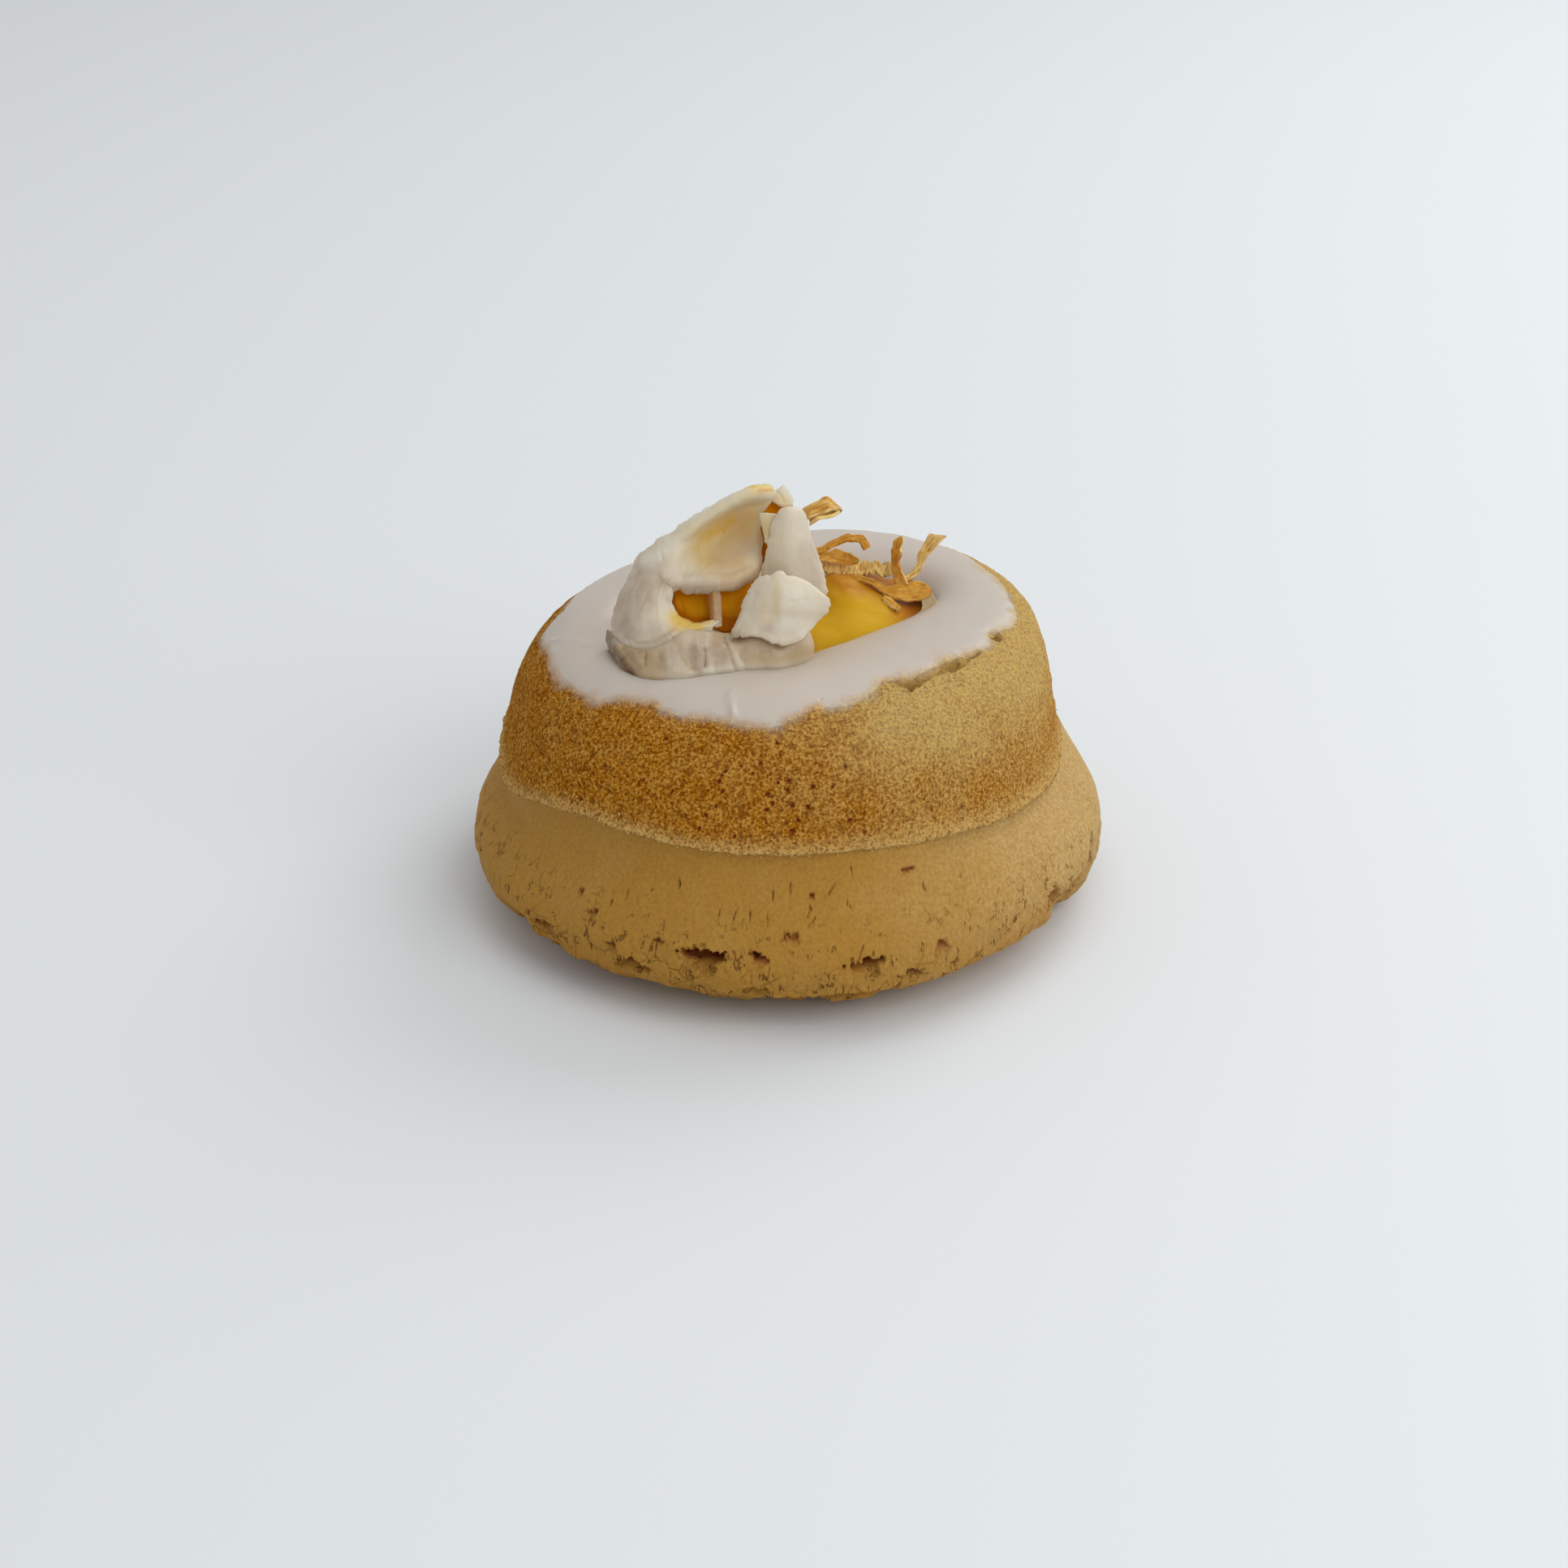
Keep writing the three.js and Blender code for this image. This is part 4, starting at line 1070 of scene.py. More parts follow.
class MOCHI_OT_crust(bpy.types.Operator):
    """Make the porous moulded crust, with its lip and its well"""
    bl_idname = "mochi.make_crust"
    bl_label = "Make Crust"

    def execute(self, context):
        d = context.scene.mochi_dough
        ring = front_ring(CRUST_RING, 0.4)
        edge = glaze_edge(ring) + 0.06
        rows = np.linspace(0, 1, CRUST_ROWS)[:, None] * (edge - CRUST_START) + CRUST_START
        rows = [*rows, edge + 0.04, edge + 0.1]
        rows += [np.full_like(ring, s) for s in (4.2, 4.5, 4.8, 5.0, 5.5, 5.97, 6.05, 6.5)]
        s, a, p, n = ring_grid(rows, ring)
        out, fields = crust_relief(s, a, p, d)
        from_edge = s - glaze_edge(a)
        under = ramp(0.015, 0.08, from_edge)
        fields["sugar"] = whiteness(from_edge, p, fields["hollow"])
        p = p + n * (out * (1 - under) - 0.95 * under)[..., None]
        p[..., 2] += fields["lip"] * 0.25 * noise(p, 2.4, 53)
        inner = p[:1] * np.array([0.93, 0.93, 1]) - [0, 0, 0.15]
        p = np.concatenate([inner, p])
        fields = {key: np.concatenate([v[:1], v]) for key, v in fields.items()}
        ends = np.array([0, 0, 20.0]), body(WELL_MIDDLE, 0.0)
        obj = ring_object("crust", p, crust_material(), fields, *ends)
        finish_piece(obj, "dough", "doughnut")
        return {"FINISHED"}


# Band


def tear_shapes(p, n, out, tear):
    """Torn places: each is cut into the height out, with painted shade in the field tear, darkest
    in its upper part.
    """
    for number, (s, azimuth, width, height, depth) in enumerate(TEARS):
        a = math.radians(azimuth)
        centre = body(s, a)
        side = np.array([-math.sin(a), math.cos(a), 0])
        where = np.where(np.linalg.norm(p - centre, axis=-1) < max(width, height))
        q = p[where]
        up = unit(np.cross(n[where].mean(0), side))
        u, v = (q - centre) @ side, (q - centre) @ up
        turn = np.arctan2(v / height, u / width)
        rough = 1 + 0.2 * np.sin(3 * turn + number * 2.3) + 0.14 * np.sin(5 * turn + number * 1.1)
        rough = rough + 0.36 * noise(q, 0.8, 101) + 0.32 * noise(q, 0.38, 102)
        r = np.hypot(u / (width / 2), v / (height / 2)) / rough
        mask = ramp(1.04, 0.94, r)
        upper = ramp(-0.4, 0.3, v / height)
        out[where] -= mask * depth * (0.35 + 0.65 * upper + 0.12 * noise(q, 1.0, 103))
        out[where] += 0.14 * bump(r, 1.12, 0.08) + 0.25 * mask * noise(q, 0.5, 104)
        shade = mask * (0.1 + 0.9 * upper) * min(1, 0.4 + depth / 2)
        tear[where] = np.maximum(tear[where], shade)


def all_cracks(random, count):
    """The cracks that show most, then many more all round, each with its width and strength."""
    cracks = [(*c, 0.06, 1.0) for c in CRACKS]
    for _ in range(count):
        low = random.random() ** 2.2
        size = random.uniform(0.5, 1.3) * (1.3 - 0.5 * low)
        lean = random.normal(0, 0.25) + (random.random() < 0.1) * random.uniform(-1.0, 1.0)
        wide = random.uniform(0.02, 0.06) * (1.2 - 0.4 * low)
        place, azimuth = 1.8 + 1.05 * low, random.uniform(0, 360)
        cracks.append((place, azimuth, size, lean, wide, random.uniform(0.3, 0.9)))
    return cracks


def crack_shapes(p, rows_at, columns_at, out, crack, d):
    """Upright cracks in four crooked steps, cut into out, with painted shade in the field crack."""
    random = np.random.default_rng(d.seed)
    for s, azimuth, size, lean, wide, deep in all_cracks(random, d.cracks):
        a = math.radians(azimuth)
        s = s - size / 30
        points = [body(s, a)]
        for _ in range(4):
            turn = lean + random.normal(0, 0.35)
            s += size / 60 * math.cos(turn)
            a += size / 160 * math.sin(turn)
            points.append(body(min(s, 2.95), a))
        rows = np.where(np.abs(rows_at - s) < 0.08 + size / 12)[0]
        columns = np.where(np.abs(turned(columns_at, a)) < 0.03 + size / 40)[0]
        block = np.ix_(rows, columns)
        best = np.full((len(rows), len(columns)), 9.0)
        for k, (start, end) in enumerate(zip(points, points[1:])):
            away, t = off_line(p[block], start, end)
            narrow = 0.05 * abs(k + t - 2)
            best = np.minimum(best, np.linalg.norm(away, axis=-1) + narrow)
        mask = ramp(wide + 0.08, wide * 0.2, best) * deep
        out[block] -= d.crack_depth * 1000 * mask
        # Painted shade in the crack.
        crack[block] = np.maximum(crack[block], mask)


class MOCHI_OT_band(bpy.types.Operator):
    """Make the smooth risen band with its cracks, tears and ragged lower edge"""
    bl_idname = "mochi.make_band"
    bl_label = "Make Band"

    def execute(self, context):
        d = context.scene.mochi_dough
        ring = front_ring(BAND_RING, 0.5)
        spans = ((1.03, 1.4, 8), (1.42, 2.3, 64), (2.325, BAND_END, 32))
        rows = np.concatenate([[0.6, 0.985], *(np.linspace(*span) for span in spans)])
        s, a, p, n = ring_grid(rows, ring)
        z, deg = p[..., 2], degrees(a)
        loose = ramp(1.05, 1.4, s)
        low = (1 - ramp(7.5, 15, z)) * loose
        out = (0.22 * layers(p, 11.0, 3, 2) - 0.16 + 0.04 * noise(p, 1.6, 9)) * loose
        out = out + low * (0.24 * layers(p, 2.6, 3, 12))
        for azimuth, wide, depth, top in UNDERCUTS:
            turn = (deg - azimuth + 180) % 360 - 180
            below = ramp(top, top - 2.5, z) * ramp(1.0, 1.25, s)
            out = out - depth * np.exp(-((turn / wide) ** 4)) * below
        cut, flap = self.ragged_edge(a, z, p)
        out = out - 2.3 * cut * loose + 0.5 * flap * loose
        web, next_web, _ = cells(p * np.array([1, 1, 0.8]), 2.1, 33)
        patch = ramp(0.1, 0.5, noise(p, 3.0, 34) + 0.15)
        seams = ramp(0.16, 0.02, next_web - web) * (1 - ramp(6.5, 11.5, z)) * patch * loose
        pit, _, tag = cells(p, 3.4, 57)
        pit = ramp(1.0, 0.5, pit / (0.15 + 0.35 * ((tag * 5.1) % 1)))
        pits = pit * (tag < 0.04 + 0.2 * low) * loose
        out = out - 0.25 * seams - 0.45 * pits
        # Painted shade in the shallow seams.
        tear, crack = np.zeros(s.shape), 0.6 * seams
        tear_shapes(p, n, out, tear)
        crack_shapes(p, rows, ring, out, crack, d)
        p = p + n * out[..., None]
        p[..., 2] = np.maximum(p[..., 2], 0.0)
        fields = {
            # Painted shade in the tears, the torn lower edge and the pits.
            "tear": np.clip(np.maximum(tear, 0.85 * cut + 0.55 * pits), 0, 1),
            "crack": np.clip(crack, 0, 1),
            "toast": self.toast(deg, z, p),
            # Painted light: pale rises towards the right, where the light falls.
            "pale": ramp(270, 345, deg) + (deg < 180) * (1 - ramp(20, 150, deg)),
            "dry": np.clip(1.1 - 1.0 * ramp(8, 17, z), 0, 1) * loose,
            "foot": (1 - ramp(6, 11, z)) * loose,
        }
        inner = p[-1:] * np.array([0.96, 0.96, 1]) + [0, 0, 0.6]
        p = np.concatenate([p, inner])
        fields = {key: np.concatenate([v, v[-1:]]) for key, v in fields.items()}
        ends = np.zeros(3), np.array([0, 0, 24.0])
        obj = ring_object("risen_band", p, band_material(), fields, *ends)
        finish_piece(obj, "dough", "doughnut")
        return {"FINISHED"}

    def toast(self, deg, z, p):
        """Browning of the lower edge, strongest at two places in front."""
        tone = (1 - ramp(2, 7.0, z)) * (0.15 + 0.5 * layers(p, 6.0, 2, 61))
        tone = tone + 0.6 * (1 - ramp(4, 10, z)) * bump(deg, 222, 20)
        tone = tone + 0.6 * (1 - ramp(5, 12, z)) * bump(deg, 325, 22)
        return np.clip(tone, 0, 1)

    def ragged_edge(self, a, z, p):
        """Where the thin skin has torn away along the lower edge, and the flaps above it."""
        around = np.stack([40 * np.cos(a), 40 * np.sin(a), 0 * a], -1)
        line = 5.2 + 0.9 * noise(around, 6.0, 71) + 0.7 * noise(around, 2.2, 72)
        line = line + 0.4 * noise(around, 0.8, 73)
        stretch = ramp(0.0, 0.16, noise(around, 9.0, 74) + 0.3 * noise(around, 3.0, 75) + 0.02)
        cut = ramp(0.1, -0.1, z - line) * ramp(-2.6, -1.7, z - line) * stretch
        flap = bump(z - line, 0.5, 0.45) * stretch * (0.6 + 0.4 * noise(p, 1.2, 76))
        return cut, flap


# Icing

# A raised crease in front, a fold on the left and two small ridges: start, end, width, height
CREASES = (
    ((-6.9, -23.5, 38.0), (-6.4, -27.6, 37.0), 0.5, 0.35),
    ((-30.5, -2.5, 35.0), (-25.0, -8.5, 37.0), 0.35, 0.3),
    ((-17.0, -21.0, 37.5), (-9.0, -22.5, 38.0), 0.8, 0.18),
    ((6, 22, 38), (11, 24, 38), 0.6, 0.25),
)


class MOCHI_OT_icing(bpy.types.Operator):
    """Make the icing over the crest and down into the well"""
    bl_idname = "mochi.make_icing"
    bl_label = "Make Icing"

    def execute(self, context):
        t, d = context.scene.mochi_topping, context.scene.mochi_dough
        ring = front_ring(ICING_RING)
        edge = glaze_edge(ring) - 0.02
        end = GLAZE_END + 0.05 * np.sin(4 * ring + 2)
        near = [edge + f for f in np.linspace(0, 0.14, ICING_EDGE_ROWS)]
        start = near.pop()
        far = [start + f * (end - start) for f in np.linspace(0, 1, ICING_ROWS)]
        s, a, p, n = ring_grid(near + far, ring)
        from_edge = s - edge
        relief, fields = crust_relief(s, a, p, d)
        cover = ramp(0.0, 0.085, from_edge + 0.02 * noise(p, 1.8, 206))
        level = 0.14 + 0.14 * layers(p, 9.0, 2, 203) + 0.04 * noise(p, 2.6, 204) + self.marks(p)
        inside = ramp(0.6, 1.0, from_edge / (end - edge)) * 0.2 * noise(p, 3.0, 205)
        out = relief * (1 - cover) + (level + inside) * cover
        out = out - 0.25 * (1 - ramp(0.0, 0.016, from_edge))
        thick = t.icing_thickness * 1000 * np.minimum(1, 0.4 + cover)
        back = slice(None, None, -6)
        inner = (p + n * (np.minimum(out, -0.1) - thick)[..., None])[back]
        grid = np.concatenate([p + n * out[..., None], inner])
        # Painted shade: a darker ring on the inner slope of the well.
        painted_well_shade = 0.5 * bump(s, 4.62, 0.1) * ramp(0.2, 0.7, noise(p, 5.0, 208))
        soak = 1 - whiteness(s - glaze_edge(a), p, fields["hollow"])
        # toast carries the crust's browning with its painted light.
        fields = {"soak": soak, "toast": fields["toast"], "painted_well_shade": painted_well_shade}
        fields = {key: np.concatenate([v, v[back]]).reshape(-1) for key, v in fields.items()}
        faces = ring_quads(*grid.shape[:2], closed=True)
        obj = new_object("icing_skin", grid.reshape(-1, 3), faces, icing_material(), fields)
        finish_piece(obj, "icing", "icing")
        return {"FINISHED"}

    def marks(self, p):
        """Height of the creases and of a few small dents."""
        out = np.zeros(p.shape[:2])
        for start, end, wide, high in CREASES:
            away, _ = off_line(p, np.array(start), np.array(end))
            r = np.linalg.norm(away[..., :2], axis=-1)
            out += high * bump(r, 0, wide) * (0.6 + 0.4 * noise(p, 0.9, 210))
        spot, _, tag = cells(p, 5.0, 211)
        return out - 0.14 * ramp(1.0, 0.3, spot / 0.35) * (tag < 0.2)


# Filling


def fill_top(x, y):
    """Height of the filling, with its humps and its slow waves."""
    z = FILL_LEVEL + 0.12 * np.sin(0.9 * x + 0.5 * y) + 0.1 * np.sin(0.4 * x - 1.1 * y + 1)
    for mx, my, high, wide, deep in MOUNDS:
        z = z + high * np.exp(-(((x - mx) / wide) ** 2) - ((y - my) / deep) ** 2)
    return z


class MOCHI_OT_filling(bpy.types.Operator):
    """Make the smooth yellow filling in the well"""
    bl_idname = "mochi.make_filling"
    bl_label = "Make Filling"

    def execute(self, context):
        a = azimuths(FILLING_RING)
        edge = body(FILL_EDGE - 0.3 * bump(turned(a, math.radians(20)), 0, 0.8), a)
        hidden = [body(np.full_like(a, s), a) for s in (6.5, 6.06, 5.9, 5.5, 5.1, 4.95)]
        middle = np.array([*WELL, 0])
        for ring in hidden:
            ring[:, :2] = WELL + (ring[:, :2] - WELL) * 0.985
        top = []
        for f in np.linspace(1, 0.02, FILLING_ROWS):
            p = middle + (edge - middle) * f
            blend = f**8
            p[:, 2] = fill_top(p[:, 0], p[:, 1]) * (1 - blend) + edge[:, 2] * blend
            fold = 0.1 * layers(p * np.array([0.6, 1.6, 1]), 3.0, 3, 301)
            fold = fold + 0.03 * noise(p * np.array([0.5, 2.4, 1]), 1.2, 302)
            p[:, 2] += fold * (1 - blend)
            top.append(p)
        p = np.array(hidden + top)
        x, y = p[..., 0], p[..., 1]
        p[..., 2] += 0.25 * layers(p, 3.0, 3, 306) * ramp(6, 8, y)
        # Painted shade: amber on the left under the fruit, at the right end and at the back under
        # the shreds.
        amber = ramp(1.0, -5.0, x) + ramp(12.5, 16.0, x + 0.2 * y)
        amber = 0.9 * (amber + ramp(4.5, 8.0, y + 0.1 * (9 - x)))
        fields = {
            "amber": np.clip(amber + 0.25 * layers(p, 4.0, 3, 305), 0, 1),
            # Painted shade at the right end of the filling.
            "deep": ramp(0.45, 0.95, amber) * ramp(15, 17.5, x + 0.1 * y),
        }
        paint("yellow_mound", fields, seen(p), p, 1.0)
        ends = body(WELL_MIDDLE, 0.0), np.array([*WELL, fill_top(*WELL)])
        obj = ring_object("yellow_mound", p, filling_material(), fields, *ends)
        finish_piece(obj, "filling", "filling")
        return {"FINISHED"}


# Torn fruit: grids of points, row by row; each row holds the x, y and z of its points in mm

FRUIT = {
    "petal_hood": (
        (-12.6, -12.4, 40.5, -11.9, -12.5, 40.6, -11.1, -12.5, 40.9, -10.3, -12.4, 41.1,
         -9.6, -12.2, 41.2, -8.9, -12, 41.6, -8.5, -11.4, 42.3),
        (-16.6, -13.8, 38.9, -15.7, -13.9, 39.3, -14.7, -13.9, 39.8, -13.8, -13.7, 40.5,
         -12.9, -13.3, 41, -12, -12.7, 41.5, -11, -11.5, 42),
        (-20.3, -13, 39.5, -19.2, -13.9, 39.3, -17.8, -14.3, 39.2, -16.1, -14.3, 39.7,
         -14.6, -13.8, 40.7, -13.3, -12.9, 41.5, -12.1, -11.3, 42.1),
        (-21.7, -11.5, 40.5, -20.5, -13, 40.4, -18.9, -14, 40.3, -17.1, -14.3, 40.8,
         -15.4, -13.9, 41.6, -14, -12.7, 42.1, -13, -11.1, 42.4),
        (-22.2, -10, 41.2, -20.9, -11.9, 41.3, -19.1, -13.3, 41.4, -17.5, -13.8, 41.7,
         -15.8, -13.4, 42.2, -14.5, -12.4, 42.5, -13.6, -10.9, 42.7),
        (-21.8, -8.6, 42.4, -20.6, -10.8, 42.6, -19, -12.4, 42.7, -17.5, -13, 42.9,
         -16.1, -12.7, 43.1, -15, -11.9, 43.2, -14.1, -10.7, 43.2),
        (-21, -7.4, 43.8, -20, -9.8, 44.1, -18.6, -11.4, 44, -17.3, -12.1, 44, -16.1, -12, 44,
         -15.1, -11.4, 43.8, -14.3, -10.5, 43.6),
        (-20.1, -6.2, 45.3, -19.4, -8.6, 45.5, -18.1, -10.4, 45.4, -16.9, -11.2, 45.2,
         -16, -11.4, 44.9, -15.2, -11, 44.6, -14.4, -10.2, 44.2),
        (-19.4, -5.2, 46.8, -18.8, -7.3, 46.6, -17.6, -9.3, 46.3, -16.5, -10.3, 46,
         -15.7, -10.7, 45.7, -15, -10.6, 45.4, -14.4, -10, 44.8),
        (-19, -4.4, 47.8, -18.1, -6.4, 47.5, -17, -8.3, 47.1, -16, -9.5, 46.8,
         -15.4, -10.1, 46.5, -14.8, -10.2, 46, -14.4, -9.8, 45.2),
        (-16.9, -3.6, 49.5, -16.4, -5.8, 49.2, -15.7, -7.4, 48.5, -15.1, -8.6, 47.8,
         -14.8, -9.4, 47.2, -14.5, -9.8, 46.5, -14.3, -9.5, 45.4),
        (-14.6, -3, 50.8, -14.5, -5.3, 50.4, -13.9, -6.4, 49.4, -13.6, -7.2, 48.2,
         -13.5, -8.2, 47.3, -13.4, -9.3, 46.5, -13.4, -9, 45),
        (-12.5, -2.6, 52.1, -12.7, -4.8, 51.5, -12.5, -4.8, 50.1, -12.3, -5, 48.5,
         -12.2, -6.4, 47.4, -12.2, -8.9, 46.6, -12.2, -8.6, 44.6),
        (-10.2, -2.2, 53.5, -10.9, -4.4, 52.8, -11.1, -3, 50.8, -11.1, -2.4, 48.6,
         -10.9, -4.4, 47.2, -10.6, -8.5, 46.6, -10.7, -8.3, 44.6),
        (-7.9, -1.8, 54.7, -8.6, -4, 54.2, -9.2, -1.6, 51.6, -9.5, -0.6, 49, -9.2, -3, 47.4,
         -8.8, -8.1, 46.5, -8.8, -8, 44.7),
        (-5.6, -1.4, 55.8, -6.3, -3.6, 55.6, -7.2, -1, 52.7, -7.7, 0.2, 49.8, -7.4, -2.2, 47.9,
         -6.8, -7.6, 46.6, -6.8, -7.6, 44.7),
        (-3.5, -1, 56.4, -4, -3, 56, -4.9, -1.2, 53.5, -5.6, 0, 50.7, -5.3, -2, 48.5,
         -4.9, -6.4, 47.2, -5.1, -6.8, 45.2),
        (-1.9, -0.6, 56.3, -1.4, -2, 55.7, -2.2, -2, 54.1, -3.4, -1.8, 51.8, -2.9, -2.6, 49.4,
         -3.1, -4.6, 47.1, -4, -5.6, 45.3),
    ),
    "petal_front": (
        (-7.1, -14, 40.7, -5.3, -14.9, 41.6, -2.9, -15.4, 41.6, -0.7, -15.6, 40.8,
         1.8, -14.2, 40.8),
        (-6.5, -12.6, 41.5, -4.7, -13.7, 42.2, -2.6, -14.2, 42.3, -0.1, -13.9, 41.8,
         3.1, -11.6, 41),
        (-5.9, -11.2, 42.9, -3.9, -12.3, 43.3, -1.9, -12.7, 43.4, 0.6, -12.4, 43, 4.4, -9.9, 41.8),
        (-5.4, -10.6, 44.4, -3.4, -11.7, 44.8, -1.6, -12.1, 44.9, 1.1, -11.8, 44.5,
         5.5, -9.5, 43.1),
        (-4.8, -10.2, 45.7, -2.9, -11.1, 46.1, -1.2, -11.4, 46.2, 1.4, -11, 45.9, 5.4, -9.2, 44.3),
        (-4.1, -9.8, 46.8, -2.5, -10.4, 47.2, -0.9, -10.6, 47.3, 1.2, -10.1, 46.9,
         3.7, -9.2, 45.7),
        (-3.6, -9.6, 47.4, -2.3, -9.7, 47.8, -0.9, -9.8, 48.1, 0.4, -9.5, 47.6, 1.9, -9.1, 46.9),
    ),
    "petal_upright": (
        (-3.3, -6.1, 36.1, -1.9, -6.9, 35.8, -0.6, -7.1, 35.7, 0.7, -6.6, 35.5, 1.5, -5.6, 35),
        (-3.4, -6.5, 37.7, -1.9, -7.3, 38, -0.6, -7.6, 38.2, 0.7, -7, 38.2, 1.7, -5.8, 37.9),
        (-3.2, -6.6, 40.6, -1.4, -7.5, 41, 0.5, -7.8, 41.1, 2.1, -7, 41.1, 3.6, -5.2, 40.4),
        (-3, -6.2, 43.7, -1.2, -7.3, 44.4, 0.9, -7.6, 44.7, 3.2, -6.6, 44.2, 5.1, -4.4, 42.8),
        (-3, -5.8, 46.4, -1.2, -6.9, 47, 0.7, -7.1, 47.2, 3, -6.1, 46.7, 4.8, -4, 45.3),
        (-2.7, -5.5, 49.1, -1.2, -6.4, 49.6, 0.5, -6.6, 49.7, 2.4, -5.6, 49.2, 3.9, -3.6, 47.9),
        (-2.2, -5, 51.1, -0.9, -5.7, 51.5, 0.5, -5.9, 51.6, 1.8, -5, 51.1, 3.2, -3.3, 50),
        (-1.7, -4.3, 52.7, -0.6, -4.9, 53.1, 0.6, -5, 53.1, 1.7, -4.2, 52.7, 2.7, -3, 51.9),
        (-1.1, -3.7, 53.7, -0.3, -4.1, 54.1, 0.6, -4.1, 54.1, 1.5, -3.6, 53.7, 2.2, -2.8, 52.9),
        (-0.4, -3.2, 53.9, 0.1, -3.4, 54.2, 0.6, -3.4, 54.2, 1.1, -3.1, 54, 1.6, -2.7, 53.5),
    ),
    "petal_tip": (
        (-1.6, -0.6, 55.5, -1.7, -1, 54.9, -1.8, -1.6, 54.2),
        (-1, -0.4, 55.7, -1.1, -1, 54.9, -1.2, -1.8, 53.9),
        (-0.4, -0.2, 56, -0.3, -0.8, 54.8, -0.4, -1.7, 53.5),
        (0.3, 0, 54.9, 0.3, -0.6, 54.2, 0.3, -1.4, 53.3),
        (0.8, 0, 53.7, 0.8, -0.4, 53.5, 0.9, -1, 53.3),
    ),
    "petal_sliver": (
        (-3.5, -3, 53.4, -2.4, -3.2, 53.4, -1.1, -3.2, 53.3),
        (-3.3, -3.4, 52.1, -2.4, -3.8, 52.3, -1.6, -3.8, 52.2),
        (-2.9, -4, 51.1, -2.4, -4.4, 51.2, -2, -4.4, 51),
        (-2.8, -4.9, 50.2, -2.6, -5.1, 50.1, -2.3, -5.2, 49.9),
    ),
    "window_rib": (
        (-9.9, -7.6, 45.3, -9.3, -8.2, 45.5, -8.6, -7.6, 45.3),
        (-9.8, -8.3, 44.1, -9.1, -9, 44.5, -8.4, -8.3, 44.1),
        (-9.7, -9.1, 43, -9, -9.9, 43.4, -8.3, -9.1, 43),
        (-9.6, -10.2, 42.1, -8.9, -11, 42.4, -8.2, -10.2, 42),
        (-9.4, -11.4, 41.4, -8.7, -12, 41.6, -8.1, -11.4, 41.3),
    ),
}

AMBER = {
    "amber_pane_left": (
        (-16.5, -8.3, 45.8, -16.3, -8.7, 44.6, -16.1, -9.2, 43.5, -15.5, -9.8, 42.5,
         -14.5, -10.4, 41.5),
        (-15.1, -7.2, 45.5, -14.9, -7.6, 44.4, -14.8, -8.2, 43.3, -14.3, -9, 42.3,
         -13.4, -9.8, 41.4),
        (-13.7, -6.6, 45.5, -13.7, -7, 44.1, -13.7, -7.7, 43.1, -13.2, -8.7, 42,
         -12.6, -9.9, 41.1),
        (-12.3, -6.2, 45.3, -12.3, -6.6, 43.9, -12.2, -7.3, 42.9, -12.1, -8.5, 41.8,
         -11.8, -9.9, 40.8),
        (-10.7, -6.2, 45.3, -10.7, -6.6, 43.9, -10.6, -7.3, 42.9, -10.6, -8.5, 41.7,
         -10.3, -9.9, 40.8),
        (-9.1, -6.6, 45.5, -9.1, -7, 44.1, -9.1, -7.7, 43.1, -9, -8.8, 41.9, -8.9, -9.9, 40.8),
    ),
    "amber_pane_right": (
        (-9.4, -6.4, 45.4, -9.3, -6.9, 44.1, -9.1, -7.6, 43, -8.9, -8.7, 41.8, -8.7, -10.6, 40.6),
        (-7.9, -5.9, 45.2, -7.9, -6.5, 43.9, -7.9, -7.2, 42.9, -7.8, -8.4, 41.7,
         -7.8, -10.6, 40.3),
        (-6.5, -5.6, 45.5, -6.5, -6.2, 44.1, -6.5, -7, 42.8, -6.6, -8.2, 41.6, -6.7, -10.4, 40.3),
        (-5.3, -5.4, 46.2, -5.2, -6, 44.6, -5.2, -6.9, 43, -5.4, -8, 41.5, -5.6, -10, 40.3),
        (-3.6, -4.4, 46.9, -3.6, -5.4, 45.1, -3.8, -6.6, 43.2, -4.2, -7.8, 41.5, -4.5, -9.4, 40.3),
    ),
    "amber_tip": (
        (-3.2, 0, 55, -3.2, -0.6, 53.7, -3.4, -1, 51.7, -3.2, -2, 48.9, -3.6, -3.6, 46),
        (-2.2, 0.2, 55, -2.2, -0.6, 53.7, -2.4, -1.2, 51.7, -2.4, -2.4, 49.1, -2.4, -4, 46),
        (-0.8, 0.4, 54.2, -0.8, -0.4, 53.2, -0.7, -1.2, 51.7, -0.9, -2.4, 49.1, -1, -3.9, 46.3),
        (0.7, 0.6, 53.5, 0.8, 0, 52.8, 0.9, -1, 51.7, 0.8, -1.9, 49.3, 0.2, -3.1, 47.3),
    ),
}

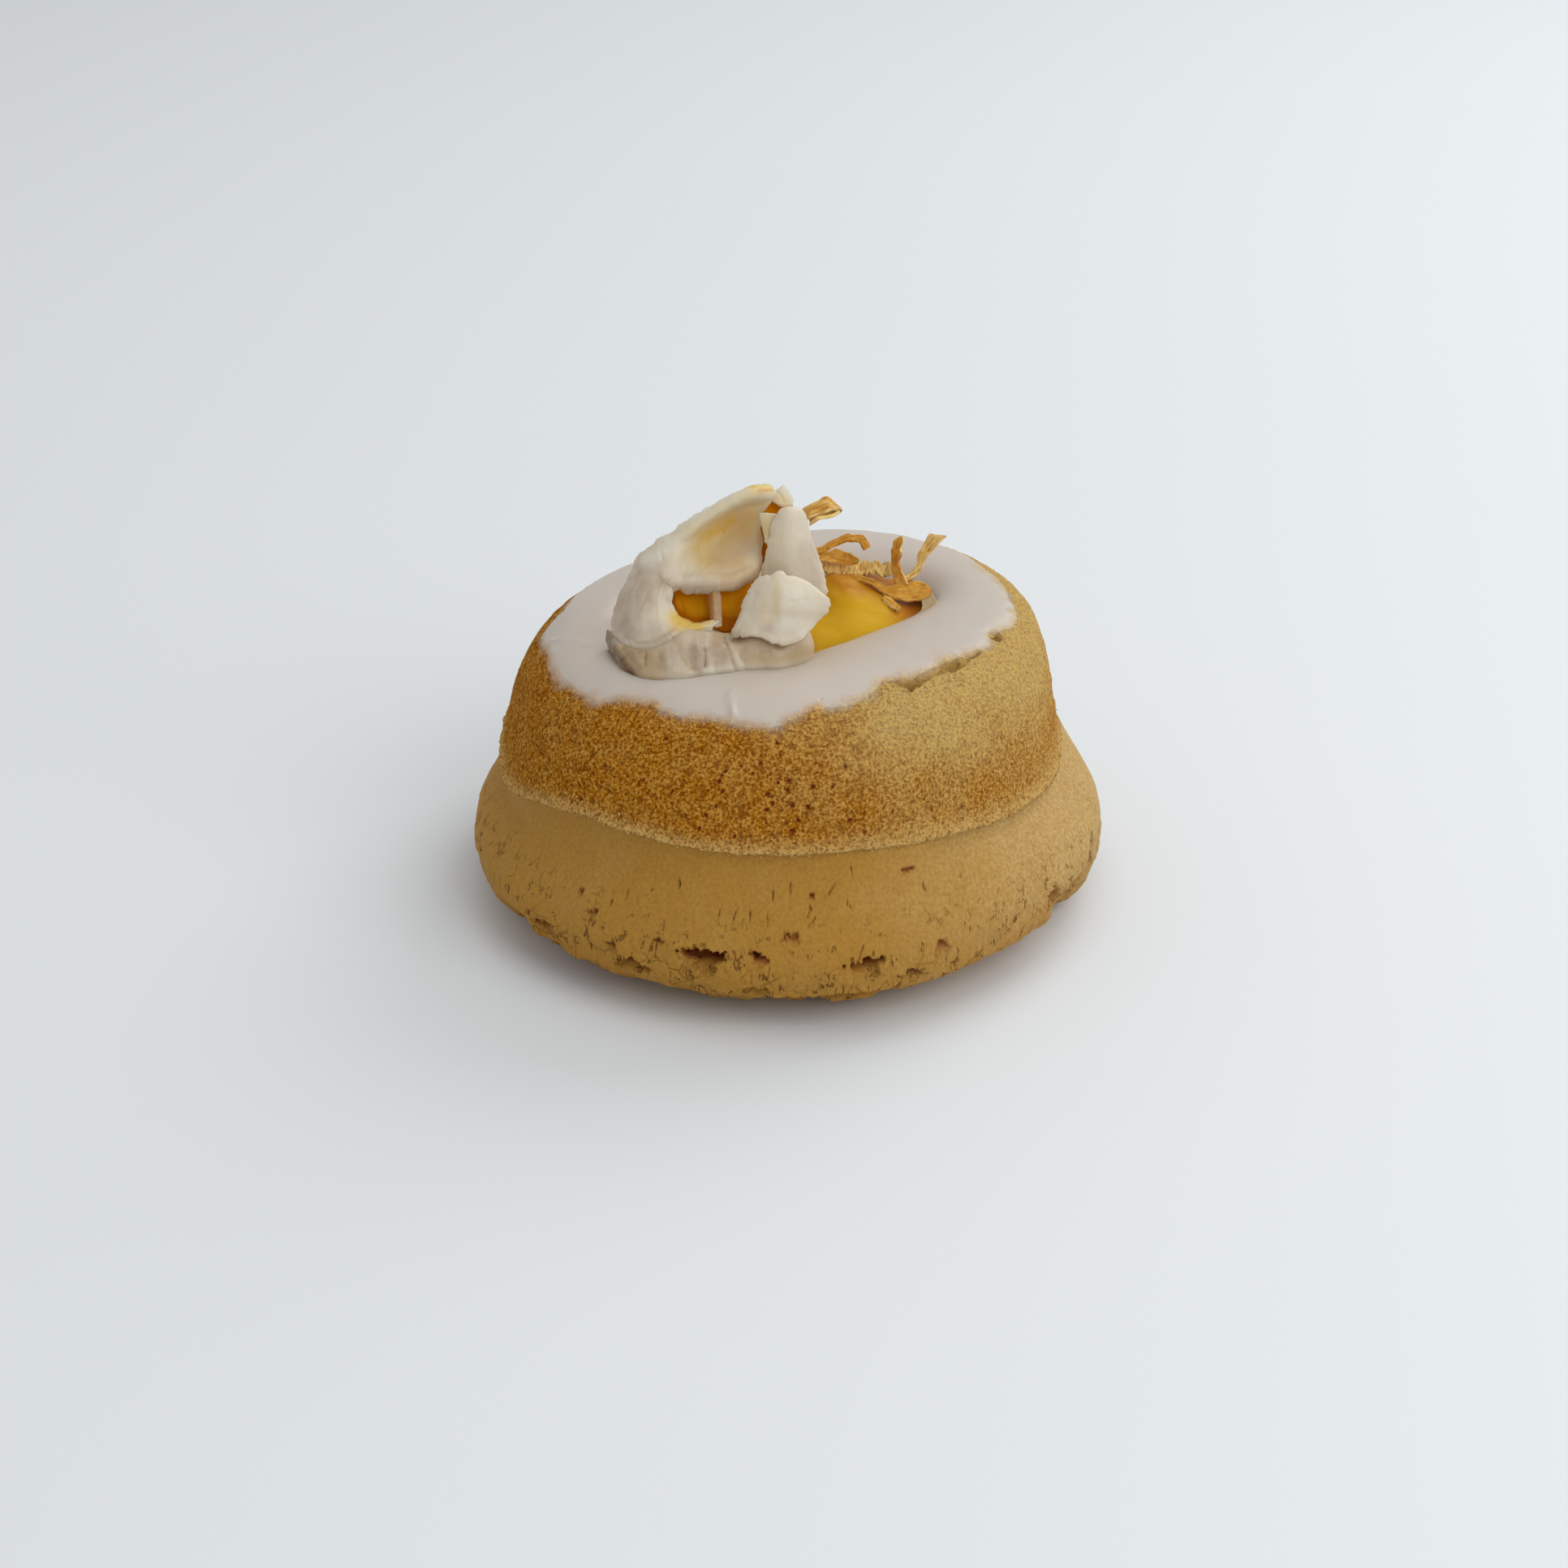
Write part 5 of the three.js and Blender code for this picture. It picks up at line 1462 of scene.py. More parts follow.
PULP = {
    "pulp_base": (
        (-22.6, -8.4, 39.5, -22.8, -9, 39.1, -22.8, -9.5, 38.6, -22.6, -9.6, 38.1,
         -22.2, -9.3, 36.9),
        (-21.1, -9.8, 39.5, -21.2, -11.8, 39.55, -21, -13.91, 38.74, -20.5, -15.12, 37.83,
         -20.1, -14.72, 36.68),
        (-18.9, -11.2, 39.1, -18.9, -13.8, 39.35, -18.8, -16.1, 38.76, -18.6, -17.39, 37.87,
         -18.3, -16.99, 36.72),
        (-16.7, -11.6, 39.1, -16.5, -14.7, 39.55, -16.4, -17.22, 39.02, -16.4, -18.64, 38.03,
         -16.3, -18.24, 36.88),
        (-14.5, -11.6, 40.1, -14.4, -14.7, 40.35, -14.4, -17.31, 39.56, -14.3, -18.81, 38.18,
         -14.4, -18.41, 37.03),
        (-12.6, -11.4, 41.1, -12.5, -14.5, 41.05, -12.4, -17.08, 40.01, -12.3, -18.57, 38.24,
         -12.4, -18.17, 37.09),
        (-10.3, -11.2, 40.9, -10.2, -14.1, 40.6, -10.2, -16.54, 39.66, -10.1, -17.98, 38.24,
         -10.2, -17.58, 37.09),
        (-8.3, -11.2, 40.3, -8.1, -13.7, 40.2, -7.9, -15.4, 39.72, -7.6, -17.2, 38.2,
         -7.5, -16.8, 37.05),
        (-6.5, -11.4, 40.2, -6.2, -13.7, 40.1, -5.8, -14.91, 39.73, -5.6, -16.12, 38.08,
         -5.5, -15.72, 36.93),
        (-3.9, -11.8, 40.7, -3.7, -13.8, 40.8, -3.5, -14.67, 39.74, -3.3, -15.74, 38.04,
         -3.2, -15.34, 36.89),
        (-1.4, -11.8, 40.7, -1.2, -13.4, 40.7, -1, -14.2, 39.69, -0.7, -15.1, 38,
         -0.6, -14.7, 36.8),
        (1, -11, 40.4, 1.2, -12.5, 40.7, 1.5, -13.1, 39.62, 1.7, -13.4, 37.8, 1.9, -13, 36.6),
        (2.6, -10, 40.6, 3, -11.3, 40.3, 3.3, -11.4, 39.3, 3.5, -11, 37.4, 3.6, -10.5, 36.2),
    ),
    "shell_rim": (
        (17.8, 9.6, 38.4, 16.8, 9.1, 37.65),
        (19, 7.2, 38.4, 17.4, 6.7, 37.65),
        (19.7, 4.6, 38.1, 17.8, 4.3, 37.65),
        (19.6, 2.2, 37.8, 17.7, 2.3, 37.55),
        (18.7, 0.2, 37.8, 16.9, 0.9, 37.35),
        (17.4, -1.4, 37.7, 15.8, -0.3, 37.45),
    ),
}

# Relief of the surfaces, drawn in the front view: height and width, then the x and y of the
# points that a line follows

RELIEF = {
    "petal_hood": (
        (0.24, 0.8, -14.3, 26.6, -12.4, 26.3, -9.2, 26.1, -6.5, 26.3, -4.4, 27.4, -3.2, 28.8),
        (-0.21, 0.5, -12.8, 27.7, -10.8, 27.9, -8.6, 27.8, -6.5, 27.9, -4.4, 28.7),
        (0.06, 0.1955, -13.6, 27.1, -13.1, 28.3, -12.7, 29.4),
        (0.06, 0.1955, -12.9, 27, -12.1, 28.3, -11.6, 29.4),
        (0.06, 0.1955, -12.1, 26.9, -11.3, 28.1, -10.5, 29.1),
        (0.06, 0.1955, -11.3, 26.9, -10.3, 27.9, -9.4, 28.7),
        (0.05, 0.1955, -10.2, 26.9, -9.1, 27.7, -7.8, 28.2),
        (-0.18, 0.322, -19.2, 29.6, -19.3, 27.9, -19.8, 26, -20.7, 24.4, -21.3, 22.8),
        (0.17, 0.5, -19.7, 29.2, -19.9, 27.7, -20.7, 26, -21.6, 24.3, -22.3, 22.8),
        (-0.11, 0.23, -16.1, 30.5, -15.9, 29.4),
        (0.07, 0.46, -15.5, 30.3, -15.2, 29.2),
        (-0.1, 0.184, -5.9, 33.7, -4.7, 33.4, -3.5, 32.9),
        (-0.09, 0.207, -7.8, 34.7, -7.5, 33.9, -8, 32.9),
        (-0.07, 0.23, -11.2, 31.8, -11.1, 30.5, -11.4, 29.2),
        (-0.14, 0.253, -16.3, 27.1, -15.3, 26.2, -14.6, 25.5),
        (0.21, 0.5, -15.7, 27, -14.7, 26.6),
        (0.21, 0.5, -15, 25.4, -15.1, 23.9, -14.8, 22.6, -14.1, 21.6),
        (0.35, 1.6, -18.2, 21.1, -16.4, 20.9),
        (-0.16, 0.4025, -20.9, 19.3, -19, 18.4, -17, 18.6, -15.3, 19.6, -14.3, 20.2),
        (0.14, 0.8, -17.9, 28.3, -16.4, 27.8),
        (0.21, 0.7, -15.3, 31.8, -12.6, 33.1, -9.7, 35.1, -7, 36.9, -3.8, 38.4),
        (-0.11, 0.2875, -6.7, 36, -4.7, 36.5, -2.7, 36.7),
        (0.14, 0.46, -6.5, 37.2, -4.4, 37.6, -1.9, 37.7),
        (-0.09, 0.23, -4.4, 38.6, -3, 38.4, -1.6, 38.5),
        (-0.11, 0.345, -17.7, 26, -18.3, 23.9, -19.6, 22.2),
        (0.14, 0.6, -16.4, 24.6, -16.4, 22.5),
    ),
    "petal_front": (
        (-0.1, 0.5175, -1.6, 24.9, -1.8, 22.8, -2.1, 20.7),
        (0.13, 0.7, -0.4, 26, -0.3, 21.9),
        (-0.05, 0.345, 1, 23.9, 2.6, 24.3),
        (-0.05, 0.345, -3.8, 25.1, -4.3, 21.9),
    ),
    "petal_tip": (
        (-0.1, 0.23, -1, 38.4, -0.3, 37.7, 0, 36.9),
        (0.09, 0.2875, 0.3, 38.6, 1, 37.3),
    ),
    "pulp_base": (
        (-0.21, 0.3, -10.4, 17.7, -10.4, 16.4, -10.4, 15.3),
        (0.049, 0.253, -10.1, 19.4, -10.2, 17.7),
        (-0.0462, 0.3, -12.3, 18.5, -12.3, 15.1),
        (0.056, 0.2875, -7.4, 19.2, -6.6, 17.3, -5.9, 15.6),
        (-0.0756, 0.345, -7.9, 18.8, -7.1, 17, -6.5, 15.3),
        (-0.0966, 0.5175, -19.8, 17.7, -18, 17.2, -16.1, 17.6, -14.5, 18.6),
        (-0.0756, 0.3, -18, 17, -18.1, 15.3),
        (0.18, 1.1, -9, 17),
        (0.105, 0.8, -11.3, 16.8),
        (0.1575, 0.9, -15.3, 16.1),
        (-0.0672, 0.3, -13.4, 16.1, -12.6, 15.1, -11.3, 14.8),
        (0.0825, 0.4025, -14.5, 14.8, -12.6, 14.6),
        (-0.0588, 0.3, -16.4, 17, -15.8, 15.6),
        (0.315, 1.7, -4, 17.7, -0.6, 17, 1.7, 17.7),
        (-0.0672, 0.4025, -5.9, 17, -5.1, 15.3),
        (-0.084, 0.345, -21.7, 17, -20.7, 15.6, -19.4, 14.3),
        (0.1575, 0.5, -20.4, 17.7, -19.2, 15.6),
        (-0.0378, 0.3, -14, 18.2, -13.6, 16.4),
        (0.042, 0.2, -11.5, 18.8, -11.5, 15.1),
        (-0.0504, 0.3, -9.3, 18.8, -9.2, 14.9),
        (0.035, 0.2, -13.2, 18.8, -13.1, 16.4),
        (-0.0588, 0.3, -14.9, 17.7, -14.7, 14.5),
    ),
}

# Tones of the surfaces, drawn in the same way: which, how strong and how wide

PAINT = {
    "petal_hood": (
        ("warm", 0.8, 1.5, -10.4, 32.2, -8.7, 33.5, -7, 34.7),
        ("warm", 0.55, 1.7, -10.9, 30.7, -10, 29.4),
        ("warm", 0.5, 2.2, -7.9, 31.8, -5.8, 33.5, -4.4, 35.3),
        # Painted shade in the right of the hollow and along the lip.
        ("deep", 0.12, 2, -5.1, 33.7, -4.4, 31.3, -4.7, 29.4),
        ("deep", 0.55, 0.6, -2.9, 33.1, -2.7, 31, -3, 28.8),
        ("deep", 0.2, 1.5, -7, 29.4, -4.7, 28.6),
        ("warm", 0.85, 0.45, -4.3, 38.6, -3, 38.7, -1.9, 38.7),
        ("deep", 0.5, 0.22, -3.4, 38.4, -1.6, 38.5),
        ("warm", 1, 1.15, -14.3, 21.5, -12.9, 20.8, -11.3, 20.6),
        ("warm", 0.8, 0.5, -10.7, 20.9, -9.6, 21.3),
        ("deep", 0.5, 0.22, -14.3, 22.8, -13.4, 21.8, -11.7, 21.2, -10, 21.4),
        # Painted shade: the wet strokes on the left lobe of the hood darken the side that lies in
        # shade.
        ("wet", 0.55, 2, -19.3, 26.2, -18.5, 23.9, -20.4, 21.4),
        ("wet", 0.3, 1.5, -17.5, 24.6, -16.4, 23.5),
        ("wet", 0.6, 0.7, -20.7, 26, -21.7, 23.5),
        ("wet", 0.45, 1, -21.3, 19, -18.8, 17.9, -16.1, 18.2),
        ("deep", 0.14, 0.8, -15.6, 26.6, -14.1, 26),
        ("wet", 0.25, 1, -14, 26, -10.2, 25.8, -6.5, 26),
        ("pale", 0.15, 0.8, -17.9, 20.7, -16.4, 20.4),
        # Painted highlights on the lit rims of the hood.
        ("pale", 0.7, 0.35, -14.9, 25.1, -14.9, 23.5, -14.5, 22.4),
        ("pale", 0.7, 0.4, -12.6, 19.6, -10.7, 19.8, -9.2, 20.4, -8.7, 21.3),
        ("pale", 0.5, 0.9, -18, 29.2, -15, 31.3),
        ("pale", 0.5, 0.9, -11.7, 34.9, -7, 37.7),
        ("pale", 0.5, 0.7, -15.8, 23.5, -15.6, 21.4),
        ("wet", 0.4, 1.3, -17.4, 32.6, -19.6, 28.3),
        ("wet", 0.35, 1.5, -14.5, 23.5, -16.1, 28.3),
        ("wet", 0.3, 1.2, -6.5, 26.2, -4.4, 27.8),
        ("wet", 0.75, 2.2, -21.2, 24.5, -20.9, 20.3),
        ("wet", 0.75, 1.7, -18.9, 27.5, -18.3, 25),
        ("wet", 0.5, 1.6, -17.2, 20.6, -15.6, 19.6),
        ("deep", 0.34, 1.2, -7.6, 26.7, -5.6, 26.8, -4.2, 28),
        ("wet", 0.6, 0.9, -12.8, 26.3, -9.5, 26.1),
        ("deep", 0.2, 1.3, -8.6, 28.8, -6, 28.3),
        ("deep", 0.14, 1.2, -13.6, 20.8, -11.2, 20.4),
        ("warm", 0.3, 1.6, -9.5, 29.2, -6, 28.9),
        ("deep", 0.2, 0.9, -6.3, 26.6, -4.4, 27.6),
    ),
    "petal_front": (
        ("warm", 0.2, 0.45, -1, 26.9, -0.9, 24.1, -1.2, 21.4),
        ("warm", 0.2, 0.45, -2.2, 24.3, -2.5, 21.3),
        ("wet", 0.9, 0.9, -7, 19, -3.3, 18.5, -0.4, 17.6, 2.6, 18.4),
        ("pale", 0.5, 1.5, 1.7, 24.6, 3.8, 23),
        ("pale", 0.4, 1.2, -0.1, 20.4, 2, 20.9),
        ("wet", 0.7, 1.2, -2, 20.2, 0.6, 19.9),
    ),
    "petal_upright": (
        ("wet", 0.5, 1.1, 3, 31, 3.6, 28.6, 4.2, 26.4),
        ("deep", 0.25, 0.3, -2.7, 30.9, -2.9, 27.9),
    ),
    "petal_tip": (
        ("warm", 0.5, 0.6, -0.6, 37.5, 0, 37.1),
        # Painted shadow under the fold of the tip.
        ("deep", 0.8, 0.35, -1.6, 36.7, -0.1, 36.2, 1.2, 36.2),
        ("pale", 0.5, 1, 0.2, 38.2, 0.5, 37.4),
    ),
    "petal_sliver": (
        ("warm", 0.35, 0.8, -2.2, 34.7, -2.1, 32.6),
    ),
    "pulp_base": (
        # Painted shadow along the left end between the pulp and the icing, and painted shade in the
        # grooves.
        ("deep", 0.9, 0.7, -23.2, 19.8, -22.8, 18.4, -21.7, 16.8, -19.8, 14.5),
        ("deep", 0.7, 0.3, -18, 17, -18.1, 15.5),
        ("deep", 0.5, 0.6, -20.7, 17.5, -18.8, 15.3),
        ("deep", 0.35, 0.3, -10.4, 17.4, -10.4, 15.5),
        ("warm", 0.5, 0.8, 2, 16.4, 3.8, 17.7),
        ("warm", 0.25, 1.5, -3.8, 17.2, 0.4, 17),
        ("pale", 0.24, 0.25, -10.1, 19.3, -10.2, 17.7),
        ("pale", 0.28, 0.25, -7.4, 19.2, -6.6, 17.3, -5.9, 15.6),
        ("pale", 0.17, 0.5, -14, 15, -12.4, 14.7),
        ("pale", 0.12, 0.9, -15.3, 16.4),
        ("pale", 0.21, 0.3, -5.4, 15.3, -2.8, 15.1),
        ("deep", 0.35, 0.3, -7.8, 18.8, -7.1, 17, -6.5, 15.3),
        ("deep", 0.9, 0.55, -23.1, 18.8, -21.9, 16.4, -20.2, 14.1),
        ("deep", 0.35, 1.6, -19.8, 16.4, -16.1, 15.8),
        ("wet", 0.5, 1.2, -12.9, 16.8, -8.1, 16.8),
        ("warm", 0.55, 1.6, -20.5, 16.8, -17.5, 15.6),
        ("deep", 0.38, 0.9, -11.6, 17.8, -11.3, 14.9),
        ("deep", 0.2, 1, -8.6, 17.9, -8.2, 15.5),
        # Painted highlights: small bright dabs on the glossy pulp.
        ("pale", 0.6, 0.14, -2.9, 17.8, -2.2, 17.5),
        ("pale", 0.7, 0.12, -0.9, 15.8, -0.2, 15.9),
        ("pale", 0.5, 0.16, -5.6, 15.2, -4.6, 15),
        ("pale", 0.35, 0.12, 0.6, 15.4, 1.6, 15.8),
        ("warm", 0.4, 1.6, -3.5, 17.2, 1.8, 17.2),
        ("pale", 0.25, 1, -15.2, 17.4, -14.2, 15.4),
        ("pale", 0.45, 0.4, -15.2, 13.9, -11.8, 14.4, -8.6, 15, -5.2, 15.6, -0.3, 15.6, 2.6, 16.6),
        ("warm", 0.45, 0.35, -18.8, 14.6, -16.8, 13.9),
        ("deep", 0.2, 1.1, -4.5, 17.6, 1.5, 17.8),
    ),
    "window_rib": (
        ("deep", 0.3, 0.8, -9, 24.8, -8.8, 21.2),
        ("wet", 1, 1.2, -9.6, 25.7, -9.3, 21.7),
        ("deep", 0.8, 0.9, -9.7, 25.7, -9.4, 21.7),
        ("pale", 0.12, 0.2, -8.8, 25.1, -8.6, 21.9),
    ),
    "shell_rim": (
        ("warm", 0.9, 3, 18.5, 25.8, 19.3, 23.5, 18.5, 21.9),
        ("deep", 0.28, 3, 18.5, 25.8, 19.3, 23.5, 18.5, 21.9),
        # Painted shade along the inner edge of the flap.
        ("deep", 0.5, 0.5, 17.2, 25, 17.6, 23.4, 16.8, 22.2),
        ("deep", 0.3, 0.5, 17.5, 25.9, 18.4, 25.6),
    ),
    # Painted shade along the lower rims (deep) and painted highlights in upright streaks (warm).
    "amber_pane_left": (
        ("deep", 0.9, 0.28, -14.7, 24.6, -14.5, 23.5, -13.9, 22.5, -12.9, 21.7, -11.5, 21.3,
         -10, 21.5),
        ("deep", 0.4, 0.15, -13.4, 23.9, -13, 22.3),
        ("warm", 0.7, 0.35, -10.8, 24.8, -10.7, 22.5),
        ("warm", 0.35, 0.8, -12.1, 24.1, -11.8, 22.8),
    ),
    "amber_pane_right": (
        ("deep", 0.9, 0.28, -8.5, 21.9, -7.2, 21.4, -5.8, 21.5),
        ("deep", 0.6, 0.6, -7.8, 20.9, -7.9, 19.6),
        ("warm", 0.3, 0.8, -7, 24.1, -6.8, 22.8),
    ),
    # Painted shade on the filling under the shreds and at its right end.
    "yellow_mound": (
        ("amber", 0.9, 1.5, 5.8, 27.1, 8.4, 26, 11.6, 26, 13.7, 24.8),
        ("amber", 0.5, 1.6, 5.5, 24.6),
        ("amber", 0.55, 0.5, 3.9, 17.7, 3.6, 18.8),
        ("deep", 0.9, 0.5, 4.9, 28.3, 6.2, 28),
        ("deep", 0.9, 1, 16, 24.1, 17.5, 23.2, 18.1, 22.3),
        ("amber", 0.9, 1.6, 15.3, 24.3, 17.3, 22.5),
        ("amber", 0.9, 1, 6.6, 26.8, 9.5, 26.2),
    ),
}

# The larger petals: faces along and across; fibres along and across, and their height. Then the
# faces of the smaller pieces, which have no fibres.
LARGE_PETALS = {
    "petal_hood": ((210, 100), (9, 30, 0.035)),
    "petal_front": ((100, 80), (5, 18, 0.025)),
    "petal_upright": ((110, 60), (6, 15, 0.028)),
}
SMALL_PETAL = (60, 36)


class MOCHI_OT_petals(bpy.types.Operator):
    """Make the torn fruit: the hood with its rib, the front and upright petals and the flaps"""
    bl_idname = "mochi.make_petals"
    bl_label = "Make Torn Fruit"

    def execute(self, context):
        thick = context.scene.mochi_topping.petal_thickness * 1000
        material = fruit_material()
        for seed, (name, rows) in enumerate(FRUIT.items(), FRUIT_SEED):
            large = name in LARGE_PETALS
            size, fibre = LARGE_PETALS[name] if large else (SMALL_PETAL, None)
            ragged, wave, part = (0.3, 0.05, 1) if large else (0.12, 0.03, 0.6)
            obj = sheet_object(
                name, rows, material, size, thick * part, seed, ragged, wave, fibre, 0.9, 0.03,
            )
            nodes = [] if name == "window_rib" else [name]
            finish_piece(obj, "fruit", *nodes)
        return {"FINISHED"}


class MOCHI_OT_amber(bpy.types.Operator):
    """Make the glossy amber skin that shows through the opening and the gaps of the fruit"""
    bl_idname = "mochi.make_amber"
    bl_label = "Make Amber Skin"

    def execute(self, context):
        material = amber_material()
        for seed, (name, rows) in enumerate(AMBER.items(), AMBER_SEED):
            obj = sheet_object(name, rows, material, (44, 40), THIN, seed, 0.05)
            finish_piece(obj, "filling")
        return {"FINISHED"}


class MOCHI_OT_pulp(bpy.types.Operator):
    """Make the half-clear ribbed pulp along the front rim, and the thin flap at the right end"""
    bl_idname = "mochi.make_pulp"
    bl_label = "Make Pulp"

    def execute(self, context):
        thick = context.scene.mochi_topping.pulp_thickness * 1000
        material = pulp_material()
        rows, size = PULP["pulp_base"], (190, 80)
        obj = sheet_object("pulp_base", rows, material, size, thick, PULP_SEED, 0.15, 0.07)
        finish_piece(obj, "pulp", "pulp_base")
        rows, size = PULP["shell_rim"], (70, 24)
        obj = sheet_object("shell_rim", rows, material, size, THIN, RIM_SEED, 0.05, 0.03)
        finish_piece(obj, "pulp")
        return {"FINISHED"}


# Fried shreds: grids of points in the same way

SHREDS = {
    "shred_loop": (
        (0.2, 1.9, 37.4, 1.1, 1.3, 37.4),
        (0.4, 1.7, 40.5, 1.3, 1, 40.4),
        (0.6, 1.6, 43.6, 1.5, 0.8, 43.4),
        (0.8, 1.6, 46.8, 1.6, 0.7, 46.6),
        (1.1, 2.1, 49.4, 1.8, 0.9, 49),
        (1.8, 3, 51.1, 2.4, 1.2, 50.4),
        (2.9, 3.2, 52, 3.3, 1.2, 51.1),
        (4, 3.6, 52.3, 4.5, 1.4, 51.5),
        (5.1, 4, 52.8, 5.5, 1.6, 51.8),
        (6, 4.2, 52, 6.3, 2.4, 51.7),
        (6.8, 4, 51.3, 7, 3, 51.2),
        (6.4, 5.4, 50.8, 6.3, 2.2, 50.9),
        (5.3, 5.4, 50.8, 5.3, 1.2, 51),
        (4.2, 4.6, 50.7, 4.1, 0.6, 51),
        (3, 4.2, 50.2, 3, 0.2, 50.3),
    ),
    "shred_arc": (
        (0.9, 5.1, 38.2, 1.9, 5, 38.2),
        (1.3, 5, 40, 2.1, 4.9, 39.8),
        (1.8, 4.9, 42, 2.5, 4.8, 41.5),
        (2.5, 4.9, 43.8, 3, 4.7, 43),
        (3.3, 5.2, 45, 3.6, 4.8, 44.1),
        (4.6, 5.8, 45, 4.8, 5.3, 44.4),
        (5.6, 6.3, 45.4, 5.9, 5.8, 44.8),
        (6.7, 6.9, 45.8, 6.9, 6.3, 45.1),
        (7.9, 7.3, 46, 8, 6.7, 45.3),
        (9, 7.5, 45.9, 8.9, 6.9, 45.3),
        (10, 7.5, 45.9, 9.5, 7, 45.1),
        (10.6, 7.4, 45.3, 9.8, 6.8, 44.7),
        (11.1, 7.1, 44.5, 10.2, 6.6, 44.1),
    ),
    "shred_flake": (
        (1.8, 8, 38.8, 2.7, 7.4, 38.8),
        (2.8, 8.3, 41.1, 3.4, 7.5, 40.7),
        (4, 8.4, 42.7, 4.4, 7.4, 42.2),
        (5.5, 9.2, 42.8, 5.7, 8, 41.8),
        (6.5, 9.8, 43, 6.8, 8.4, 41.4),
        (7.6, 9.8, 42.7, 7.8, 8.6, 41.1),
        (8.7, 9.4, 42.3, 8.7, 8.8, 41.1),
        (9.6, 9, 41.7, 9.4, 8.8, 41.4),
    ),
    "shred_frayed": (
        (3.8, 9.2, 41.7, 4.4, 7.4, 40.9),
        (5.5, 9.8, 41.3, 5.7, 7.8, 40.3),
        (6.9, 10.2, 40.9, 7.1, 8, 39.8),
        (8.4, 10.4, 40.5, 8.5, 8.4, 39.8),
        (9.8, 10.6, 40.6, 9.9, 8.8, 39.6),
        (11.2, 10.8, 40.7, 11.2, 9, 39.7),
        (12.5, 10.8, 40.7, 12.5, 9, 39.7),
        (13.9, 10.4, 40.5, 14, 9, 39.4),
    ),
    "shred_stub": (
        (14.3, 9.6, 44.5, 15.2, 9.4, 45.1),
        (14, 9.5, 44.1, 15.4, 9.2, 44.5),
        (14, 9.4, 43.2, 15.1, 9, 43.4),
        (13.9, 9.2, 42.4, 15.3, 8.8, 42.8),
        (13.9, 9, 41.4, 15, 8.6, 41.7),
        (13.9, 8.6, 40.4, 15.2, 8.2, 40.7),
        (14.2, 8.2, 39.6, 15.6, 7.8, 39.9),
        (14.6, 7.6, 38.6, 16.1, 7.2, 39.1),
    ),
    "shred_fan": (
        (19, 12.4, 44.2, 21.1, 11.6, 44.1),
        (18.5, 12.2, 43.4, 20.3, 11.4, 43.3),
        (18.1, 11.9, 42.8, 19.5, 11.2, 42.4),
        (17.7, 11.5, 42, 18.9, 10.9, 41.7),
        (17.5, 11, 41.2, 18.3, 10.5, 41),
        (17.3, 10.4, 40.4, 17.9, 10, 40.2),
        (16.8, 9.8, 39.8, 17.3, 9.4, 39.6),
        (15.9, 9.2, 39.4, 16.4, 8.6, 39.2),
        (15.1, 8.4, 39.3, 15.4, 7.8, 38.9),
    ),
    "shred_leaf": (
        (7.7, 7.4, 39.9, 7.8, 7, 39.6),
        (9.2, 7.4, 40.1, 9.2, 6.8, 39.7),
        (10.6, 7.2, 40, 10.5, 6.4, 39.6),
        (11.9, 6.8, 39.7, 11.6, 5.8, 39.2),
        (13.2, 6.8, 38.9, 12.9, 5.2, 38.5),
        (14.5, 7.4, 38.9, 14.3, 4.8, 38.1),
        (16, 8, 38.9, 15.8, 4.8, 37.8),
        (17.3, 8, 39.1, 17.2, 4.8, 37.8),
        (18.4, 7.4, 39, 18.3, 5, 38),
        (19.2, 6.4, 38.4, 19.1, 5.8, 38.2),
    ),
    "shred_sliver": (
        (12.5, 4, 38.4, 12.8, 4.6, 38.6),
        (13.2, 3.4, 38, 13.8, 4.2, 38.2),
        (14, 2.8, 37.6, 14.5, 3.6, 37.8),
        (14.6, 2.4, 37.4, 15, 2.8, 37.5),
    ),
}

# Fibres of each shred: how many along and across it, and how high
FIBRES = {
    "shred_loop": (14, 7, 0.07), "shred_arc": (12, 5, 0.06), "shred_flake": (7, 7, 0.07),
    "shred_frayed": (60, 2.4, 0.09), "shred_stub": (6, 5, 0.06), "shred_fan": (7, 8, 0.07),
    "shred_leaf": (10, 9, 0.1), "shred_sliver": (3, 5, 0.08),
}

# How scorched each shred is, and how much paler or darker than its fibres alone make it
SCORCH = {
    "shred_stub": 0.85, "shred_arc": 1.6, "shred_frayed": 0.1, "shred_leaf": 0.9,
    "shred_flake": 0.35,
}
PALER = {
    "shred_fan": 0.5, "shred_frayed": 0.4, "shred_loop": 0.3, "shred_arc": -0.6,
    "shred_flake": -0.2, "shred_leaf": -0.3,
}


def shred_tones(name, seed, p, fields):
    """Pale dry edges and scorched fibres."""
    along, across = fields["along"], fields["across"]
    end = np.maximum(ramp(0.08, 0.0, along), ramp(0.92, 1.0, along)) * 0.5
    side = np.maximum(ramp(0.14, 0.0, across), ramp(0.86, 1.0, across))
    edge = np.maximum(side, end) * (0.6 + 0.4 * noise(p, 0.8, 501))
    many_along, many_across, _ = FIBRES[name]
    q = np.stack([along * many_along, across * many_across, 0 * along + seed - SHRED_SEED], -1)
    line = noise(q, 0.7, 502)
    burnt = SCORCH.get(name, 0) * noise(p, 2.0, 503) ** 2 - 0.5 * line
    fields["edge"] = np.clip(edge + 0.3 * line + PALER.get(name, 0), 0, 1)
    fields["burnt"] = np.clip(burnt, 0, 1)


